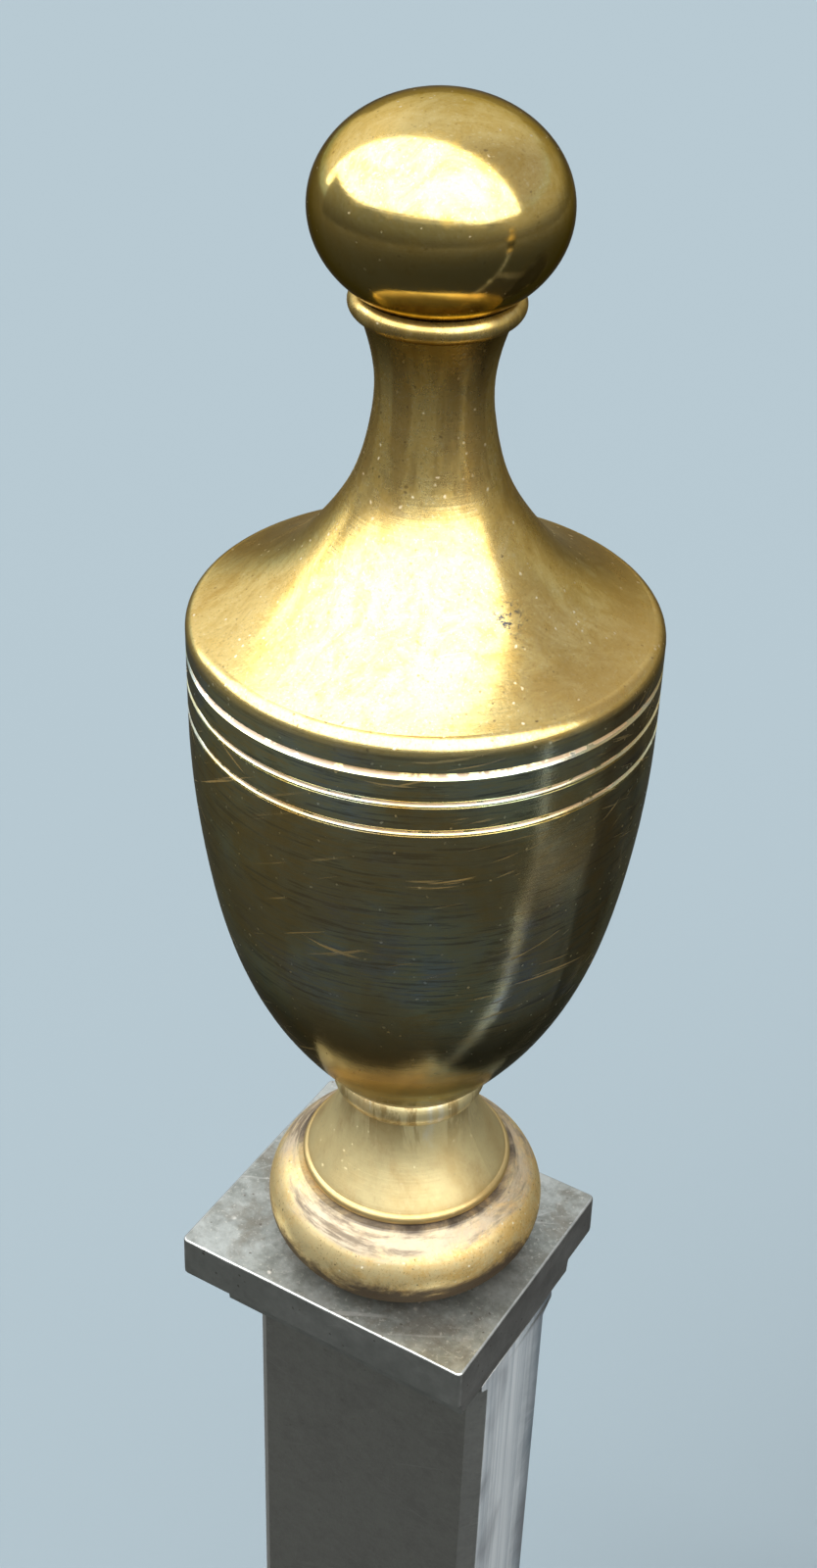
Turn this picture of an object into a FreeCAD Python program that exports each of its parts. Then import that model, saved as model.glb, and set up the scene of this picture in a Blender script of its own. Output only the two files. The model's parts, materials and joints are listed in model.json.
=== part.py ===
import FreeCAD, Part
import math
import os

# Fire basket: two steel posts with brass urn finials, a barred basket between them,
# a cast back plate and a loose bottom grate. Millimetres, +Z up, the front faces -Y.

# Overall layout
POST_CENTRES = 480.0
OVERALL_DEPTH = 340.0
CAP_TOP = 450.0

# Posts and their plinths
POST_WIDTH = 47.8
POST_DEPTH = 25.4
POST_CHAMFER = 2.9
CHAMFER_STOP_TOP = 1.5
CHAMFER_STOP_LOW = 22.0
PLINTH_WIDTH = 66.0
PLINTH_DEPTH = 50.0
PLINTH_SLAB = 13.0
PLINTH_HEIGHT = 24.0

# Cap plate and the cove under it; the plate sits a little outward and forward of the post
CAP_WIDTH = 56.2
CAP_DEPTH = 48.0
CAP_THICKNESS = 8.4
CAP_SHIFT_OUT = 2.2
CAP_SHIFT_FRONT = 0.7
COVE_HEIGHT = 7.6
COVE_LEDGE = 1.4
COVE_SETBACK = 3.6

# Finial, built up from the top of the cap plate
RING_RADIUS = 23.5
RING_TUBE = 8.4
RING_HEIGHT = 16.9
DISC_RADIUS = 17.7
STEM_RADIUS = 11.0
STEM_HEIGHT = 23.4
BEAD_RADIUS = 12.8
URN_RADIUS = 34.4
URN_WALL = 3.4
BODY_HEIGHT = 84.6
GROOVES_BELOW_RIM = (14.6, 9.9, 5.3)
GROOVE_RADIUS = 0.6
NECK_RADIUS = 8.1
NECK_HEIGHT = 47.7
COLLAR_RADIUS = 11.8
BALL_RADIUS = 17.2
BALL_HALF_HEIGHT = 14.2
BALL_SEAT_RADIUS = 8.4
BALL_SPIGOT_RADIUS = 4.0
BALL_SPIGOT_LENGTH = 21.9
DISH_DEPTH = 1.2
DISH_FIT = 0.25
LID_SKIRT = 8.0
LID_FIT = 0.1

# Threads are drawn as plain cylinders
STUD_RADIUS = 5.0
STUD_IN_POST = 30.0
THREAD_ENGAGED = 6.0
SCREW_FIT = 0.05
SPIGOT_RADIUS = 4.5
SPIGOT_LENGTH = 12.0
SPIGOT_FIT = 0.1
PIN_RADIUS = 2.0

# Bars
FRONT_BAR = 14.0
SIDE_BAR = 12.0
FRONT_BAR_HEIGHTS = {"lower": 124.0, "second": 156.0, "third": 188.0, "top": 220.0}
SIDE_BAR_HEIGHTS = {"lower": 124.0, "middle": 156.0, "top": 188.0}
SIDE_CANT = 22.0
BAR_CHAMFER = 1.2

# Front rail and rear bearer, both angle sections that carry the grate
RAIL_LOW = 76.0
RAIL_TOP = 108.0
RAIL_THICKNESS = 8.0
SEAT_TOP = 84.0
SEAT_THICKNESS = 6.0
SEAT_REACH = 22.0
RAIL_SPIGOT = 3.5
BEARER_LOW = 58.0
BEARER_THICKNESS = 6.0

# Apron under the front rail
APRON_THICKNESS = 4.0
APRON_TOP = 94.0
APRON_END = 34.0
APRON_CROWN = 62.0
RIVET_RADIUS = 2.5
RIVET_HEAD = 5.0
RIVET_SPACING = 95.0

# Rear legs and back plate
LEG_SIZE = 18.0
LEG_TOP = 304.0
PLATE_THICKNESS = 8.0
PLATE_HALF_WIDTH = 155.0
PLATE_LOW = 60.0
PLATE_SIDE_TOP = 345.0
PLATE_CROWN = 405.0
BOLT_HEIGHTS = (69.0, 280.0)
BOLT_RADIUS = 4.0
NUT_ACROSS_FLATS = 13.0
NUT_HEIGHT = 6.5

# Bottom grate
GRATE_THICKNESS = 16.0
GRATE_FRONT_GAP = 11.0
GRATE_BACK_GAP = 12.0
GRATE_FRONT_HALF = 204.0
GRATE_BACK_HALF = 122.0
GRATE_BORDER = 14.0
GRATE_BAR = 12.0
GRATE_BAR_FOOT = 8.0
GRATE_PITCH = 28.0
GRATE_CORNER = 5.0

Vector = FreeCAD.Vector
UP = Vector(0, 0, 1)
URN_BASE = RING_HEIGHT + STEM_HEIGHT
RIM_HEIGHT = URN_BASE + BODY_HEIGHT
GROOVE_HEIGHTS = [RIM_HEIGHT - below for below in GROOVES_BELOW_RIM]
MOUTH_RADIUS = URN_RADIUS - URN_WALL
COLLAR_HEIGHT = RIM_HEIGHT + NECK_HEIGHT
COLLAR_LIP = COLLAR_HEIGHT + 0.5
BALL_SEAT = COLLAR_LIP - DISH_DEPTH
BALL_CENTRE = BALL_SEAT + BALL_HALF_HEIGHT * math.sqrt(1 - (BALL_SEAT_RADIUS / BALL_RADIUS) ** 2)
POST_X = POST_CENTRES / 2
POST_Y = -OVERALL_DEPTH / 2 + URN_RADIUS
POST_TOP = CAP_TOP - CAP_THICKNESS - COVE_HEIGHT
POST_BACK = POST_Y + POST_DEPTH / 2
PLATE_BACK = OVERALL_DEPTH / 2
LEG_BACK = PLATE_BACK - PLATE_THICKNESS
LEG_FRONT = LEG_BACK - LEG_SIZE
LEG_Y = LEG_BACK - LEG_SIZE / 2
CANT = math.tan(math.radians(SIDE_CANT))
LEG_X = POST_X - (LEG_FRONT - POST_BACK) * CANT
GRATE_FRONT = POST_Y + GRATE_FRONT_GAP
GRATE_BACK = LEG_FRONT - GRATE_BACK_GAP


def box(x0, x1, y0, y1, z0, z1):
    return Part.makeBox(x1 - x0, y1 - y0, z1 - z0, Vector(x0, y0, z0))


def cylinder(radius, start, end):
    axis = end.sub(start)
    return Part.makeCylinder(radius, axis.Length, start, axis)


def prism(points, height):
    """A solid raised from a closed outline of vectors."""
    face = Part.Face(Part.makePolygon(points + [points[0]]))
    return face.extrude(height)


def turned(edges):
    """A turned solid from a closed outline of edges in the XZ plane."""
    face = Part.Face(Part.Wire(Part.__sortEdges__(edges)))
    solid = face.revolve(Vector(0, 0, 0), UP, 360)
    return Part.Solid(solid.Shells[0]) if solid.ShapeType != "Solid" else solid


def at(radius, height):
    return Vector(radius, 0, height)


def line(a, b):
    return Part.LineSegment(at(*a), at(*b)).toShape()


def lines(*points):
    return [line(a, b) for a, b in zip(points, points[1:])]


def arc(a, middle, b):
    return Part.Arc(at(*a), at(*middle), at(*b)).toShape()


def curve(*points):
    spline = Part.BSplineCurve()
    spline.interpolate([at(*p) for p in points])
    return spline.toShape()


def edges_where(shape, test):
    return [e for e in shape.Edges if test(e.BoundBox)]


# Finial pieces, each drawn on the Z axis with the cap plate's top at zero


def make_foot_ring():
    """A fat ring, round below and fuller above, with a narrow ledge round the urn's foot."""
    bore = STUD_RADIUS + 0.5
    centre = RING_RADIUS - RING_TUBE
    turn = math.radians(-45)
    under = (centre + RING_TUBE * math.cos(turn), RING_TUBE + RING_TUBE * math.sin(turn))
    waist = (RING_RADIUS, RING_TUBE)
    shoulder = (RING_RADIUS - 4.1, RING_HEIGHT - 0.8)
    ledge = (RING_RADIUS - 5.0, RING_HEIGHT)
    outline = lines((bore, 0), (centre, 0))
    outline.append(arc((centre, 0), under, waist))
    outline.append(arc(waist, (RING_RADIUS - 1.1, RING_HEIGHT - 3.9), shoulder))
    outline += lines(shoulder, ledge, (bore, RING_HEIGHT), (bore, 0))
    return turned(outline)


def groove(height):
    """A half-round groove line cut round the urn."""
    floor = (URN_RADIUS - GROOVE_RADIUS, height)
    return arc((URN_RADIUS, height - GROOVE_RADIUS), floor, (URN_RADIUS, height + GROOVE_RADIUS))


def stem_at(share):
    """A height on the stem, from 0 at the ring to 1 at the base of the urn."""
    return RING_HEIGHT + share * STEM_HEIGHT


def body_at(share):
    """A height on the urn's body, from 0 at its base to 1 under the lowest groove."""
    return URN_BASE + share * (GROOVE_HEIGHTS[0] - GROOVE_RADIUS - URN_BASE)


def make_urn_cup():
    seat, wide = RING_HEIGHT, URN_RADIUS
    hole = STUD_RADIUS + SCREW_FIT
    foot = (DISC_RADIUS - 0.8, seat + 2.2)
    waist = (STEM_RADIUS, stem_at(0.714))
    above_bead = (STEM_RADIUS + 0.8, stem_at(0.944))
    base = (0.407 * wide, URN_BASE)
    outline = lines((hole, seat), (DISC_RADIUS - 1.0, seat))
    outline.append(arc((DISC_RADIUS - 1.0, seat), (DISC_RADIUS, seat + 1.1), foot))
    flare = DISC_RADIUS - STEM_RADIUS
    outline.append(curve(foot, (STEM_RADIUS + 0.537 * flare, stem_at(0.261)),
                         (STEM_RADIUS + 0.179 * flare, stem_at(0.474)), waist))
    outline.append(arc(waist, (BEAD_RADIUS, stem_at(0.833)), above_bead))
    outline += lines(above_bead, (STEM_RADIUS + 1.4, stem_at(0.970)), base)
    outline.append(curve(base, (0.515 * wide, body_at(0.071)), (0.692 * wide, body_at(0.212)),
                         (0.852 * wide, body_at(0.414)), (0.942 * wide, body_at(0.630)),
                         (0.988 * wide, body_at(0.831)), (wide, body_at(1))))
    below = body_at(1)
    for height in GROOVE_HEIGHTS[:2]:
        if below < height - GROOVE_RADIUS:
            outline += lines((wide, below), (wide, height - GROOVE_RADIUS))
        outline.append(groove(height))
        below = height + GROOVE_RADIUS
    seam = GROOVE_HEIGHTS[2]
    mouth = (MOUTH_RADIUS, seam - 2 * LID_SKIRT)
    drilled = seat + THREAD_ENGAGED + 2.0
    floor = (0, body_at(0.102))
    outline += lines((wide, below), (wide, seam - GROOVE_RADIUS), (wide - GROOVE_RADIUS, seam))
    outline += lines((wide - GROOVE_RADIUS, seam), (MOUTH_RADIUS, seam), mouth)
    bore = MOUTH_RADIUS
    outline.append(curve(mouth, (0.942 * bore, body_at(0.630)), (0.826 * bore, body_at(0.385)),
                         (0.581 * bore, body_at(0.197)), (0.290 * bore, body_at(0.120)), floor))
    outline += lines(floor, (0, drilled), (hole, drilled), (hole, seat))
    return turned(outline)


def neck_at(share):
    """A height on the neck, from 0 at the rim to 1 at the collar."""
    return RIM_HEIGHT + share * NECK_HEIGHT


def shoulder_at(share):
    """A radius on the shoulder, from 0 at the neck to 1 at the urn's full width."""
    return NECK_RADIUS + share * (URN_RADIUS - NECK_RADIUS)


def ball_width(height):
    """The ball's radius at a height."""
    return BALL_RADIUS * math.sqrt(1 - ((height - BALL_CENTRE) / BALL_HALF_HEIGHT) ** 2)


def make_urn_lid():
    seam = GROOVE_HEIGHTS[2]
    skirt = MOUTH_RADIUS - LID_FIT
    inside = skirt - 2.5
    hole = BALL_SPIGOT_RADIUS + SCREW_FIT
    edge = (URN_RADIUS, RIM_HEIGHT - 2.2)
    rim = (URN_RADIUS - 1.8, RIM_HEIGHT)
    flare = COLLAR_RADIUS - NECK_RADIUS
    under_collar = (NECK_RADIUS + 0.57 * flare, neck_at(0.941))
    dish = (ball_width(COLLAR_LIP) + DISH_FIT, COLLAR_LIP)
    drilled = BALL_SEAT - BALL_SPIGOT_LENGTH - 4.0
    outline = lines((skirt, seam), (URN_RADIUS - GROOVE_RADIUS, seam),
                    (URN_RADIUS, seam + GROOVE_RADIUS), edge)
    outline.append(arc(edge, (URN_RADIUS - 0.6, RIM_HEIGHT - 0.7), rim))
    outline.append(curve(rim, (shoulder_at(0.757), neck_at(0.048)), (shoulder_at(0.490), neck_at(0.149)),
                         (shoulder_at(0.278), neck_at(0.279)), (shoulder_at(0.110), neck_at(0.432)),
                         (shoulder_at(0.023), neck_at(0.600)), (NECK_RADIUS, neck_at(0.746)),
                         (NECK_RADIUS + 0.30 * flare, neck_at(0.878)), under_collar))
    outline.append(arc(under_collar, (COLLAR_RADIUS, COLLAR_HEIGHT - 0.6), dish))
    outline += lines(dish, (ball_width(BALL_SEAT) + DISH_FIT, BALL_SEAT), (hole, BALL_SEAT), (hole, drilled))
    mouth = (hole + 2.0, drilled - 2.5)
    outline.append(line((hole, drilled), mouth))
    outline.append(curve(mouth, (0.338 * inside, neck_at(0.275)), (0.549 * inside, neck_at(0.117)),
                         (0.775 * inside, neck_at(0.015)), (inside, neck_at(-0.052))))
    low = seam - LID_SKIRT
    outline += lines((inside, neck_at(-0.052)), (inside, low), (skirt, low), (skirt, seam))
    return turned(outline)


def make_ball():
    """A flattened ball, trued flat where it seats, with a spigot screwed into the neck."""
    ball = Part.makeSphere(BALL_RADIUS)
    squash = FreeCAD.Matrix()
    squash.scale(1.0, 1.0, BALL_HALF_HEIGHT / BALL_RADIUS)
    ball = ball.transformGeometry(squash)
    ball.translate(Vector(0, 0, BALL_CENTRE))
    w = BALL_RADIUS + 1
    ball = ball.cut(box(-w, w, -w, w, BALL_CENTRE - 2 * BALL_HALF_HEIGHT, BALL_SEAT))
    tip = Vector(0, 0, BALL_SEAT - BALL_SPIGOT_LENGTH)
    spigot = cylinder(BALL_SPIGOT_RADIUS, tip, Vector(0, 0, BALL_SEAT + 2))
    return ball.fuse(spigot).removeSplitter()


def make_stud():
    low = -(CAP_THICKNESS + COVE_HEIGHT + STUD_IN_POST)
    stud = cylinder(STUD_RADIUS, Vector(0, 0, low), Vector(0, 0, RING_HEIGHT + THREAD_ENGAGED))
    return stud.makeChamfer(0.8, stud.Edges)


# Post pieces, drawn for the left side on the post's own axis


def make_cap_plate():
    plate = box(-CAP_WIDTH / 2, CAP_WIDTH / 2, -CAP_DEPTH / 2, CAP_DEPTH / 2, -CAP_THICKNESS, 0)
    upright = edges_where(plate, lambda b: b.ZLength > 1)
    plate = plate.makeFillet(1.0, upright)
    plate = plate.makeFillet(0.8, edges_where(plate, lambda b: b.ZMin > -0.01))
    plate = plate.makeFillet(1.3, edges_where(plate, lambda b: b.ZMax < -CAP_THICKNESS + 0.01))
    plate.translate(Vector(-CAP_SHIFT_OUT, -CAP_SHIFT_FRONT, 0))
    return plate.cut(cylinder(STUD_RADIUS + 0.5, Vector(0, 0, -20), Vector(0, 0, 5)))


def cove_section(spread, height):
    """The moulding's outline at one height: spread runs from 0 at the post to 1 at the plate."""
    half_width, half_depth = CAP_WIDTH / 2 - COVE_LEDGE, CAP_DEPTH / 2 - COVE_LEDGE
    setback = (1 - spread) * COVE_SETBACK
    left = -POST_WIDTH / 2 + spread * (POST_WIDTH / 2 - half_width - CAP_SHIFT_OUT)
    right = POST_WIDTH / 2 + spread * (half_width - CAP_SHIFT_OUT - POST_WIDTH / 2)
    front = setback - half_depth - CAP_SHIFT_FRONT
    back = half_depth - CAP_SHIFT_FRONT - setback
    corners = [(left, front), (right, front), (right, back), (left, back), (left, front)]
    return Part.makePolygon([Vector(x, y, height) for x, y in corners])


def make_cove():
    """A moulding that widens in a hollow curve from the post's width to the plate's underside."""
    low = -CAP_THICKNESS - COVE_HEIGHT
    end = math.radians(75)
    sections = []
    for step in range(5):
        turn = end * step / 4
        spread = (1 - math.cos(turn)) / (1 - math.cos(end))
        sections.append(cove_section(spread, low + COVE_HEIGHT * math.sin(turn) / math.sin(end)))
    cove = Part.makeLoft(sections, True, False)
    return cove.cut(cylinder(STUD_RADIUS + 0.5, Vector(0, 0, low - 5), Vector(0, 0, 5)))


def make_post():
    """The bar with stopped chamfers; heights from the hearth, on the post's own axis."""
    w, d = POST_WIDTH / 2, POST_DEPTH / 2
    post = box(-w, w, -d, d, PLINTH_HEIGHT, POST_TOP)
    flat = POST_CHAMFER / math.sqrt(2)
    low, high = PLINTH_HEIGHT + CHAMFER_STOP_LOW, POST_TOP - CHAMFER_STOP_TOP
    for sx in (-1, 1):
        for sy in (-1, 1):
            out = Vector(sx, sy, 0).normalize()
            side = Vector(sy, -sx, 0).normalize()
            corner = Vector(sx * w, sy * d, 0).sub(side * 8)
            points = [corner - out * flat + UP * (low + flat), corner - out * flat + UP * (high - flat),
                      corner + out * 2 + UP * (high + 2), corner + out * 2 + UP * (low - 2)]
            post = post.cut(prism(points, side * 16))
    tapped = STUD_RADIUS + SCREW_FIT
    post = post.cut(cylinder(tapped, Vector(0, 0, POST_TOP - STUD_IN_POST - 2), Vector(0, 0, POST_TOP + 5)))
    return post.cut(cylinder(tapped, Vector(0, 0, 0), Vector(0, 0, PLINTH_HEIGHT + 24)))


def make_plinth():
    w, d = PLINTH_WIDTH / 2, PLINTH_DEPTH / 2
    slab = box(-w, w, -d, d, 0, PLINTH_SLAB)
    slab = slab.makeFillet(3.0, edges_where(slab, lambda b: b.ZMin > PLINTH_SLAB - 0.01))
    w, d = POST_WIDTH / 2 + 3, POST_DEPTH / 2 + 3
    block = box(-w, w, -d, d, 2, PLINTH_HEIGHT)
    block = block.makeChamfer(2.5, edges_where(block, lambda b: b.ZMin > PLINTH_HEIGHT - 0.01))
    plinth = slab.fuse(block).removeSplitter()
    plinth = plinth.cut(cylinder(STUD_RADIUS + 0.5, Vector(0, 0, -5), Vector(0, 0, 40)))
    sink = Part.makeCone(10.2, STUD_RADIUS + 0.5, 4.7, Vector(0, 0, 1))
    return plinth.cut(sink).cut(cylinder(10.2, Vector(0, 0, -1), Vector(0, 0, 1)))


def make_plinth_screw():
    head = Part.makeCone(9.9, STUD_RADIUS, 4.9, Vector(0, 0, 1))
    shank = cylinder(STUD_RADIUS, Vector(0, 0, 3), Vector(0, 0, PLINTH_HEIGHT + 22))
    screw = head.fuse(shank).removeSplitter()
    slot = box(-12, 12, -0.9, 0.9, 0, 2.4)
    return screw.cut(slot)


# Bars


def square_bar(start, end, size, cut_start, cut_end, spigot):
    """A square bar from start to end, trimmed by two upright planes facing along Y or X, with a
    round spigot running on past each end."""
    along = end.sub(start).normalize()
    across = Vector(-along.y, along.x, 0)
    s, c = size / 2, BAR_CHAMFER
    flat = s - c
    ring = [(-flat, -s), (flat, -s), (s, -flat), (s, flat), (flat, s), (-flat, s), (-s, flat), (-s, -flat)]
    begin = start - along * 20
    points = [begin + across * a + UP * b for a, b in ring]
    bar = prism(points, along * (end.sub(start).Length + 40))
    bar = bar.cut(cut_start).cut(cut_end)
    rod = cylinder(spigot, start - along * SPIGOT_LENGTH, end + along * SPIGOT_LENGTH)
    return bar.fuse(rod).removeSplitter()


def spigot_hole(point, along):
    return cylinder(SPIGOT_RADIUS + SPIGOT_FIT, point - along * (SPIGOT_LENGTH + 1), point + along * 4)


def make_front_bar(height):
    inner = POST_X - POST_WIDTH / 2
    start, end = Vector(-inner, POST_Y, height), Vector(inner, POST_Y, height)
    w = 2 * FRONT_BAR
    left = box(-inner - 4 * w, -inner, POST_Y - w, POST_Y + w, height - w, height + w)
    right = box(inner, inner + 4 * w, POST_Y - w, POST_Y + w, height - w, height + w)
    return square_bar(start, end, FRONT_BAR, left, right, SPIGOT_RADIUS)


def side_ends(height):
    return Vector(-POST_X, POST_BACK, height), Vector(-LEG_X, LEG_FRONT, height)


def make_side_bar(height):
    """The left side bar, canted inward to the back."""
    start, end = side_ends(height)
    w = 5 * SIDE_BAR
    front = box(-POST_X - w, -POST_X + w, POST_BACK - w, POST_BACK, height - w, height + w)
    back = box(-LEG_X - w, -LEG_X + w, LEG_FRONT, LEG_FRONT + w, height - w, height + w)
    return square_bar(start, end, SIDE_BAR, front, back, SPIGOT_RADIUS)


def make_front_rail():
    """Angle section between the posts; its lower flange carries the grate."""
    inner = POST_X - POST_WIDTH / 2
    y = POST_Y - RAIL_THICKNESS / 2
    web = box(-inner, inner, y, y + RAIL_THICKNESS, RAIL_LOW, RAIL_TOP)
    web = web.makeFillet(2.0, edges_where(web, lambda b: b.XLength > 100 and b.ZMin > RAIL_TOP - 0.01))
    seat = box(-inner + 4, inner - 4, y + RAIL_THICKNESS - 1, y + RAIL_THICKNESS + SEAT_REACH,
               SEAT_TOP - SEAT_THICKNESS, SEAT_TOP)
    reach = inner + SPIGOT_LENGTH
    rod = cylinder(RAIL_SPIGOT, Vector(-reach, POST_Y, rail_middle()), Vector(reach, POST_Y, rail_middle()))
    rail = web.fuse([seat, rod]).removeSplitter()
    return rail.cut([rivet_hole(x) for x in rivet_places()])


def rail_middle():
    return (RAIL_LOW + RAIL_TOP) / 2


def rivet_places():
    return [i * RIVET_SPACING for i in (-2, -1, 0, 1, 2)]


def rivet_height():
    return (APRON_TOP + RAIL_LOW) / 2


def rivet_hole(x):
    start = Vector(x, POST_Y - 20, rivet_height())
    return cylinder(RIVET_RADIUS + SCREW_FIT, start, Vector(x, POST_Y + 6, rivet_height()))


def make_apron():
    """A plate hung on the rail's front face, its lower edge arched."""
    half = POST_X - POST_WIDTH / 2 - 0.5
    y = POST_Y - RAIL_THICKNESS / 2
    corners = [Vector(half, y, APRON_END), Vector(half, y, APRON_TOP), Vector(-half, y, APRON_TOP),
               Vector(-half, y, APRON_END)]
    arch = Part.Arc(corners[3], Vector(0, y, APRON_CROWN), corners[0]).toShape()
    outline = Part.Wire([*Part.makePolygon(corners).Edges, arch])
    apron = Part.Face(outline).extrude(Vector(0, -APRON_THICKNESS, 0))
    return apron.cut([rivet_hole(x) for x in rivet_places()])


def make_rivet(x):
    """A domed rivet through the apron and the rail."""
    face = POST_Y - RAIL_THICKNESS / 2 - APRON_THICKNESS
    tail = Vector(x, POST_Y + RAIL_THICKNESS / 2, rivet_height())
    shank = cylinder(RIVET_RADIUS, Vector(x, face - 1, rivet_height()), tail)
    dome = Part.makeSphere(RIVET_HEAD, Vector(x, face + 2.5, rivet_height()))
    dome = dome.cut(box(x - 9, x + 9, face, face + 9, rivet_height() - 9, rivet_height() + 9))
    return shank.fuse(dome).removeSplitter()


def make_rear_bearer():
    half = LEG_X + LEG_SIZE / 2
    web = box(-half, half, LEG_FRONT - BEARER_THICKNESS, LEG_FRONT, BEARER_LOW, SEAT_TOP)
    seat = box(-half + LEG_SIZE, half - LEG_SIZE, LEG_FRONT - BEARER_THICKNESS - SEAT_REACH, LEG_FRONT - 1,
               SEAT_TOP - SEAT_THICKNESS, SEAT_TOP)
    bearer = web.fuse(seat).removeSplitter()
    for x in (-LEG_X, LEG_X):
        bearer = bearer.cut(bolt_hole(x, BOLT_HEIGHTS[0]))
    return bearer


# Back


def bolt_hole(x, height):
    return cylinder(BOLT_RADIUS + 0.3, Vector(x, LEG_FRONT - 20, height), Vector(x, PLATE_BACK + 5, height))


def make_rear_leg():
    """The left rear leg, bored for the bars, the bolts and the pins."""
    s = LEG_SIZE / 2
    leg = box(-LEG_X - s, -LEG_X + s, LEG_FRONT, LEG_BACK, 0, LEG_TOP)
    leg = leg.makeChamfer(2.0, edges_where(leg, lambda b: b.ZMin > LEG_TOP - 0.01))
    for height in BOLT_HEIGHTS:
        leg = leg.cut(bolt_hole(-LEG_X, height))
    for height in SIDE_BAR_HEIGHTS.values():
        start, end = side_ends(height)
        along = end.sub(start).normalize()
        leg = leg.cut(spigot_hole(end, along * -1))
        leg = leg.cut(make_leg_pin(height, SCREW_FIT, 0.5))
    return leg


def make_back_plate():
    """A plain cast plate with a low arched top."""
    h, y = PLATE_HALF_WIDTH, LEG_BACK
    corners = [Vector(-h, y, PLATE_SIDE_TOP), Vector(-h, y, PLATE_LOW), Vector(h, y, PLATE_LOW),
               Vector(h, y, PLATE_SIDE_TOP)]
    crown = Part.Arc(corners[3], Vector(0, y, PLATE_CROWN), corners[0]).toShape()
    outline = Part.Wire([*Part.makePolygon(corners).Edges, crown])
    plate = Part.Face(outline).extrude(Vector(0, PLATE_THICKNESS, 0))
    plate = plate.makeFillet(1.5, edges_where(plate, lambda b: b.YLength < 0.01))
    for x in (-LEG_X, LEG_X):
        for height in BOLT_HEIGHTS:
            mouth = Vector(x, PLATE_BACK, height)
            sink = Part.makeCone(BOLT_RADIUS + 4.6, BOLT_RADIUS + 0.3, 4.3, mouth, Vector(0, -1, 0))
            plate = plate.cut(bolt_hole(x, height)).cut(sink)
    return plate


def bolt_end(height):
    """Y of the face that the nut tightens on."""
    return LEG_FRONT - BEARER_THICKNESS if height == BOLT_HEIGHTS[0] else LEG_FRONT


def make_bolt(x, height):
    flush = Vector(x, PLATE_BACK, height)
    head = Part.makeCone(BOLT_RADIUS + 4.3, BOLT_RADIUS, 4.3, flush, Vector(0, -1, 0))
    tip = Vector(x, bolt_end(height) - NUT_HEIGHT - 1.5, height)
    shank = cylinder(BOLT_RADIUS, Vector(x, PLATE_BACK - 2, height), tip)
    return head.fuse(shank).removeSplitter()


def make_nut(x, height):
    reach = NUT_ACROSS_FLATS / math.sqrt(3)
    face = bolt_end(height)
    turns = [math.radians(a) for a in range(0, 360, 60)]
    points = [Vector(x + reach * math.cos(t), face, height + reach * math.sin(t)) for t in turns]
    nut = prism(points, Vector(0, -NUT_HEIGHT, 0))
    bore = cylinder(BOLT_RADIUS + SCREW_FIT, Vector(x, face + 5, height), Vector(x, face - 20, height))
    return nut.cut(bore)


# Pins, left side


def make_front_pin(height, spare, deeper):
    """Driven from the back of the post through a front bar's spigot."""
    x = -POST_X + POST_WIDTH / 2 - SPIGOT_LENGTH / 2
    tip = Vector(x, POST_Y - 7 - deeper, height)
    return cylinder(PIN_RADIUS + spare, Vector(x, POST_BACK + deeper, height), tip)


def make_side_pin(height, spare, deeper):
    """Driven from the outer face of the post through a side bar's spigot."""
    y = POST_BACK - SPIGOT_LENGTH / 2
    x = -POST_X - POST_WIDTH / 2
    tip = Vector(-POST_X + 9 + deeper, y, height)
    return cylinder(PIN_RADIUS + spare, Vector(x - deeper, y, height), tip)


def make_leg_pin(height, spare, deeper):
    """Driven from the outer face of the rear leg through a side bar's spigot."""
    y = LEG_FRONT + SPIGOT_LENGTH / 2
    x = -LEG_X - LEG_SIZE / 2
    tip = Vector(-LEG_X + 7 + deeper, y, height)
    return cylinder(PIN_RADIUS + spare, Vector(x - deeper, y, height), tip)


def make_pins(spare=0.0, deeper=0.0):
    pins = [make_front_pin(rail_middle(), spare, deeper)]
    for height in FRONT_BAR_HEIGHTS.values():
        pins.append(make_front_pin(height, spare, deeper))
    for height in SIDE_BAR_HEIGHTS.values():
        pins.append(make_side_pin(height, spare, deeper))
        pins.append(make_leg_pin(height, spare, deeper))
    return pins


def bored_post():
    """The left post in place, with its sockets for bars and pins."""
    post = make_post()
    post.translate(Vector(-POST_X, POST_Y, 0))
    inner = -POST_X + POST_WIDTH / 2
    for height in FRONT_BAR_HEIGHTS.values():
        post = post.cut(spigot_hole(Vector(inner, POST_Y, height), Vector(1, 0, 0)))
    for height in SIDE_BAR_HEIGHTS.values():
        start, end = side_ends(height)
        post = post.cut(spigot_hole(start, end.sub(start).normalize()))
    rail = Vector(inner, POST_Y, rail_middle())
    deep = Vector(SPIGOT_LENGTH + 1, 0, 0)
    post = post.cut(cylinder(RAIL_SPIGOT + SPIGOT_FIT, rail - deep, rail + Vector(4, 0, 0)))
    for pin in make_pins(SCREW_FIT, 0.5):
        if pin.BoundBox.YMax < 0:
            post = post.cut(pin)
    return post


# Grate


def grate_corners(inset, height):
    """The frame's outline, drawn in by an inset, from the front left corner round to the back left."""
    slope = (GRATE_FRONT_HALF - GRATE_BACK_HALF) / (GRATE_BACK - GRATE_FRONT)
    lean = math.sqrt(1 + slope * slope)
    front, back = GRATE_FRONT + inset, GRATE_BACK - inset
    front_half = GRATE_FRONT_HALF - inset * (lean + slope)
    back_half = front_half - (back - front) * slope
    return [Vector(-front_half, front, height), Vector(front_half, front, height),
            Vector(back_half, back, height), Vector(-back_half, back, height)]


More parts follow.
